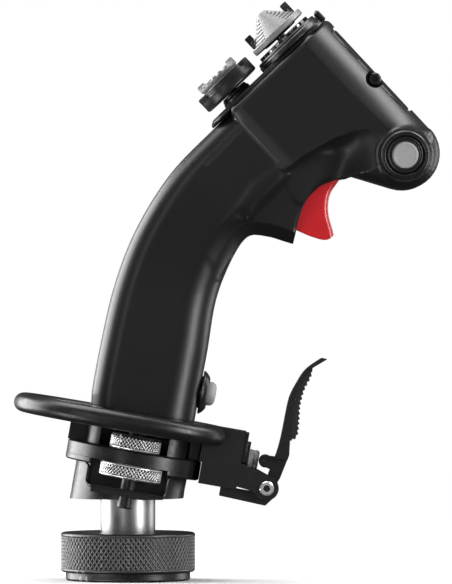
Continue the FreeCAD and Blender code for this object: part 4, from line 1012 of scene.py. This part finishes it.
def make_detent_ring():
    """The trim hat's black cogged ring, with a bright liner behind its gaps."""
    cog = teeth_between(18, 0.5)

    def set_back(angle, height):
        return -1.4 if 6.2 < height < 7.3 and not cog(angle) else 0

    lathe("trim_detent_cogs", [
        (3.9, 6.0), (12.6, 6.0), (12.6, 6.25), (12.6, 7.2), (12.6, 7.35), (12.4, 7.5), (3.9, 7.5),
    ], ["trim_detent_ring"], spot_of("trim_hat"), steps=288, ease=0.04, change=set_back,
          finish="face_black")
    lathe("trim_detent_liner", [
        (10.6, 6.1), (11.8, 6.1), (11.8, 7.4), (10.6, 7.4),
    ], ["trim_detent_ring"], spot_of("trim_hat"), finish="bright_steel")


# The trim hat's cone, from its foot to its flat tip, and the pitch of its finger grooves.
CONE_FOOT, CONE_TOP, CONE_RADIUS, TIP_RADIUS = 11.8, 20.8, 10.7, 2.1
CONE_PITCH, CONE_GROOVES = 1.15, 7


def cone_change(angle, height):
    """Grooves fore and aft on the trim hat's cone, fading out at its smooth sides."""
    if not CONE_FOOT + 0.1 < height < CONE_TOP - 0.7:
        return 0
    step = (height - CONE_FOOT) / CONE_PITCH % 1
    grooved = min(max((0.86 - abs(math.sin(angle))) / 0.06, 0), 1)
    return -0.95 * grooved if 0.05 < step < 0.36 else 0


def make_trim_cap():
    """The trim hat's bright cone on its disc, and the black skirt below."""
    rows = [(0, 3.2), (1.8, 3.2), (1.8, 9.3), (12.2, 9.3), (12.6, 9.6), (12.6, 11.4), (12.3, CONE_FOOT),
            (CONE_RADIUS, CONE_FOOT)]
    for step in range(CONE_GROOVES):
        for share in (0.03, 0.1, 0.31, 0.38, 0.97):
            height = CONE_FOOT + CONE_PITCH * (step + share)
            rise = (height - CONE_FOOT) / (CONE_TOP - CONE_FOOT)
            rows.append((CONE_RADIUS + (TIP_RADIUS - CONE_RADIUS) * rise, height))
    rows += [(TIP_RADIUS + 0.4, CONE_TOP - 0.5), (TIP_RADIUS, CONE_TOP - 0.1),
             (TIP_RADIUS - 0.5, CONE_TOP), (0, CONE_TOP)]
    points, faces = turned(rows, 240, cone_change)
    drawn("trim_hat_cone", points, faces, ["trim_hat_cap"], spot_of("trim_hat"), crease=28,
          finish="satin_steel")
    lathe("trim_hat_skirt", [
        (1.8, 8.7), (7.6, 8.7), (8.2, 9.1), (8.2, 9.35), (1.8, 9.35),
    ], ["trim_hat_cap"], spot_of("trim_hat"), finish="face_black")


def crown_top(angle):
    """Height of the crown hat's rim: four tall prongs among fine teeth."""
    prong, tooth = teeth_between(4, 0.24), teeth_between(20, 0.5, 0.1)
    if prong(angle):
        return 18.2
    return 15.4 if tooth(angle) else 14.4


def castle_top(angle):
    """Height of the castle hat's rim: a ring with four notches."""
    notch = teeth_between(4, 0.16, math.radians(-132))
    return 10.4 if notch(angle) else 12.4


def grey_top(angle):
    """Height of the grey hat's rim: two prongs and low teeth between them."""
    prong, tooth = teeth_between(2, 0.17), teeth_between(18, 0.45)
    if prong(angle):
        return 17.0
    return 15.9 if tooth(angle) else 15.2


def capped_ring(name, node, place, plan, inner, outer, floor, rim_height):
    """A turned cap, and the ring that stands round its top up to rim_height(angle)."""
    steps = 240
    points, faces = turned(eased(plan, 0.25), steps)
    angles = np.linspace(0, 2 * math.pi, steps, endpoint=False)
    start = len(points)
    outline = [(inner, None), (outer, None), (outer, 0.3), (outer - 0.35, 0), (inner + 0.25, 0),
               (inner, 0.3)]
    for radius, drop in outline:
        for angle in angles:
            height = floor if drop is None else rim_height(angle) - drop
            points.append((radius * math.cos(angle), radius * math.sin(angle), height))
    for ring in range(len(outline)):
        following = (ring + 1) % len(outline)
        faces += ribbon(start + ring * steps, start + following * steps, steps)
    drawn(name, points, faces, [node], place, crease=30)


def make_hat_caps():
    """The four caps that the thumb moves."""
    make_trim_cap()
    capped_ring("crown_hat_teeth", "crown_hat_cap", spot_of("crown_hat"), [
        (0, 3.2), (1.8, 3.2), (1.8, 11), (8, 11), (11.3, 12.8), (11.3, 14), (8.1, 14), (6, 13), (0, 13),
    ], 8.4, 11.3, 13.6, crown_top)
    capped_ring("castle_hat_merlons", "castle_hat_cap", spot_of("castle_hat"), [
        (0, 3.2), (1.8, 3.2), (1.8, 6.6), (7.6, 6.6), (7.6, 6), (12.4, 6), (12.9, 6.5), (12.9, 10.2),
        (9.5, 10.2), (9.5, 8.4), (5.5, 8.4), (4.9, 9.6), (0, 9.9),
    ], 9.5, 12.9, 9.8, castle_top)
    capped_ring("grey_hat_prongs", "grey_hat_cap", spot_of("grey_hat"), [
        (0, 3.2), (1.8, 3.2), (1.8, 13), (8.4, 13), (9.4, 14), (9.4, 14.8), (0, 14.8),
    ], 6.2, 9.4, 14.5, grey_top)


make_face_plate()
make_hat_bases()
make_detent_ring()
make_hat_caps()


# ---- paddle and the rest of the frame ----------------------------------------------------

def make_pad():
    """The paddle's finger pad: cross ribs stand out of its outer face."""
    inner = curved([(60.3, 31.0), (59.3, 38.9), (59.5, 45.0), (59.8, 50.3), (61.2, 56.3), (64.2, 61.0)])
    outer = curved([(64.2, 61.0), (63.4, 56.8), (61.9, 51.6), (61.4, 45.4), (62.0, 39.5), (62.3, 33.5),
                    (60.3, 31.0)], 24)
    pitch, proud, rising, half = 2.0, 0.75, 0.65, 9
    ribs = []
    travelled = 0
    for before, spot, after in zip(outer, outer[1:], outer[2:]):
        travelled += math.dist(before, spot)
        run = Vector(after) - Vector(before)
        out = Vector((run.y, -run.x)).normalized()
        wave = (travelled / pitch) % 1
        height = proud * (wave / rising if wave < rising else (1 - wave) / (1 - rising))
        ribs.append(tuple(Vector(spot) - out * height * min(travelled / 3, 1)))
    outline = inner[:-1] + [outer[0]] + ribs + [outer[-1]]
    points = [(x, side * half, z) for side in (-1, 1) for x, z in outline]
    count = len(outline)
    faces = ribbon(0, count, count)
    faces += [tuple(range(count)), tuple(range(count, 2 * count))[::-1]]
    drawn("paddle_pad_ribs", points, faces, ["paddle_pad"], GRIP, crease=35)


def make_pivot():
    """The paddle's pivot: a pin with a round, recessed head at each end."""
    half, head, shank, radius, recess = 12.8, 1.2, 1.5, 2.9, 1.3
    place = GRIP @ moved(54.4, 0, 10.6) @ spun(90, "X")
    end = half + head
    tip = [(0, end - 0.5), (recess, end - 0.5), (recess + 0.05, end), (radius - 0.5, end),
           (radius, end - 0.5), (radius, half), (shank, half)]
    rows = [(reach, -height) for reach, height in tip] + tip[::-1]
    points, faces = turned(rows, 64)
    drawn("paddle_pivot_screw", points, faces, ["paddle_pivot"], place, crease=25)


def bar(path, radius):
    """A round bar along a path of points, with closed ends."""
    sides = 12
    spots = [Vector(spot) for spot in path]
    points = []
    for index, spot in enumerate(spots):
        run = (spots[min(index + 1, len(spots) - 1)] - spots[max(index - 1, 0)]).normalized()
        across = run.cross(Vector((0, 1, 0))).normalized()
        up = run.cross(across)
        for side in range(sides):
            angle = 2 * math.pi * side / sides
            points.append(spot + (across * math.cos(angle) + up * math.sin(angle)) * radius)
    return points, closed(points, sides)


def make_window_border():
    """A rounded border up each side of the housing's window, and a bead along its ledge."""
    radius, back, front, foot, corner = 22.3, -16.9, 15.0, 2.2, 2.4
    rear = [(back - 1.5, 8.7), (back, 7.2)]
    rear += arc((back + corner, foot), corner, math.pi, 1.5 * math.pi, 6)
    fore = arc((front - corner, foot), corner, -0.5 * math.pi, 0, 6)
    fore += [(front, 7.2), (front + 1.5, 8.7)]
    copies = []
    for trail in (rear, fore):
        path = [(along, -math.sqrt(radius ** 2 - along ** 2), up) for along, up in trail]
        copies.append((*bar(path, 0.75), ROW))
    ledge = [(along, -25.3, 0.35) for along in np.linspace(-14.2, 14.2, 9)]
    copies.append((*bar(ledge, 0.55), ROW))
    gathered("tilt_housing_border", copies, ["tilt_housing"], GRIP)


# Parts whose own shape is kept, and how wide their sharp edges are rounded.
EDGE_WIDTHS = {
    "tilt_housing": 0.35, "base_flange": 0.3, "grip_neck": 0.3, "rear_guide_post": 0.3,
    "front_spacer": 0.3, "paddle_housing": 0.3, "plunger_bezel": 0.2, "paddle_bracket": 0.35,
    "paddle_lever": 0.35, "trigger": 0.35,
}


def make_frame_details():
    """The housing's border, the paddle's pad and pivot, and the parts with eased edges."""
    make_window_border()
    make_pad()
    make_pivot()
    for node, width in EDGE_WIDTHS.items():
        refined(node, width)


make_frame_details()


# ---- studio ------------------------------------------------------------------------------

def softbox(name, place, width, height, power):
    """A rectangular lamp that faces the middle of the grip and is itself out of sight."""
    target = (0.04, 0, 0.12)
    light = bpy.data.lights.new(name, "AREA")
    light.shape = "RECTANGLE"
    light.size, light.size_y = width, height
    light.energy = power
    lamp = placed(name, light)
    lamp.location = place
    lamp.rotation_mode = "QUATERNION"
    lamp.rotation_quaternion = (Vector(target) - Vector(place)).to_track_quat("-Z", "Y")
    lamp.visible_camera = False


def make_floor():
    """A round pale floor that fades out into the white surround."""
    reach = 0.7
    mesh = bpy.data.meshes.new("floor")
    with edited(mesh) as shape:
        bmesh.ops.create_circle(shape, cap_ends=True, segments=96, radius=reach)
    floor = placed("floor", mesh)
    floor.location = (0.03, 0, 0)
    floor.visible_shadow = False
    floor.visible_glossy = False
    floor.visible_diffuse = False
    surface = Surface("floor")
    surface.shade("Base Color", (0.82, 0.82, 0.82, 1))
    surface.shade("Roughness", 0.8)
    surface.shade("Specular IOR Level", 0.1)
    away = surface.add("ShaderNodeVectorMath", operation="LENGTH")
    surface.link(surface.place, away.inputs[0])
    surface.shade("Alpha", surface.spread(away.outputs["Value"], 1, 0, 0.12, reach * 0.9))
    mesh.materials.append(surface.material)


def make_world():
    """White behind the object, and a dim studio for what the object reflects."""
    world = bpy.data.worlds.new("studio")
    bpy.context.scene.world = world
    world.use_nodes = True
    tree = world.node_tree
    tree.nodes.clear()
    mix = tree.nodes.new("ShaderNodeMixShader")
    path = tree.nodes.new("ShaderNodeLightPath")
    output = tree.nodes.new("ShaderNodeOutputWorld")
    tree.links.new(path.outputs["Is Camera Ray"], mix.inputs["Fac"])
    tree.links.new(mix.outputs["Shader"], output.inputs["Surface"])
    for socket, strength in ((mix.inputs[1], 0.045), (mix.inputs[2], 1)):
        background = tree.nodes.new("ShaderNodeBackground")
        background.inputs["Color"].default_value = (1, 1, 1, 1)
        background.inputs["Strength"].default_value = strength
        tree.links.new(background.outputs["Background"], socket)


def make_camera():
    """Level, square to the grip's right side, through a long lens that sees tall metres."""
    tall = 0.2336
    camera_data = bpy.data.cameras.new("camera")
    camera_data.lens = 400
    camera_data.sensor_width = 36
    distance = tall * camera_data.lens / camera_data.sensor_width
    camera_data.clip_end = 20
    camera = placed("camera", camera_data)
    camera.location = (0.0392, -distance, 0.1152)
    camera.rotation_euler = (math.radians(90), 0, 0)
    bpy.context.scene.camera = camera


def make_studio():
    """Large soft lamps round the grip, then its surround, floor and camera."""
    # from above: the thumb face, the palm rest and the collar's top
    softbox("overhead", (-0.1, 0.1, 1.6), 1.4, 1.0, 24)
    softbox("front_high", (1.0, 0.1, 1.15), 0.7, 0.8, 16)
    softbox("rear_high", (-0.95, 0.0, 1.05), 0.6, 0.6, 5)
    # from the front: the light bands along the head and the column's front
    softbox("front_strip", (1.1, -0.8, 0.15), 0.45, 0.9, 15)
    softbox("front_back", (1.1, 0.6, 0.1), 0.5, 1.0, 5)
    softbox("front_wide", (0.5, -1.6, 0.1), 1.3, 0.6, 0.6)
    # from the rear: the bright edge of the column, and the faint line on its flank
    softbox("rear_side", (-1.15, 0.45, 0.25), 1.3, 1.3, 46)
    softbox("rear_strip", (-0.45, -1.2, 0.25), 0.25, 1.2, 2)
    softbox("low_rear", (-0.75, -0.6, -0.6), 0.5, 0.5, 5)
    # from beside the camera: the flat sides
    softbox("fill", (-0.2, -2.2, 0.9), 1.0, 0.8, 0.3)
    make_world()
    make_floor()
    make_camera()
    bpy.context.scene.view_settings.view_transform = "Standard"


make_studio()
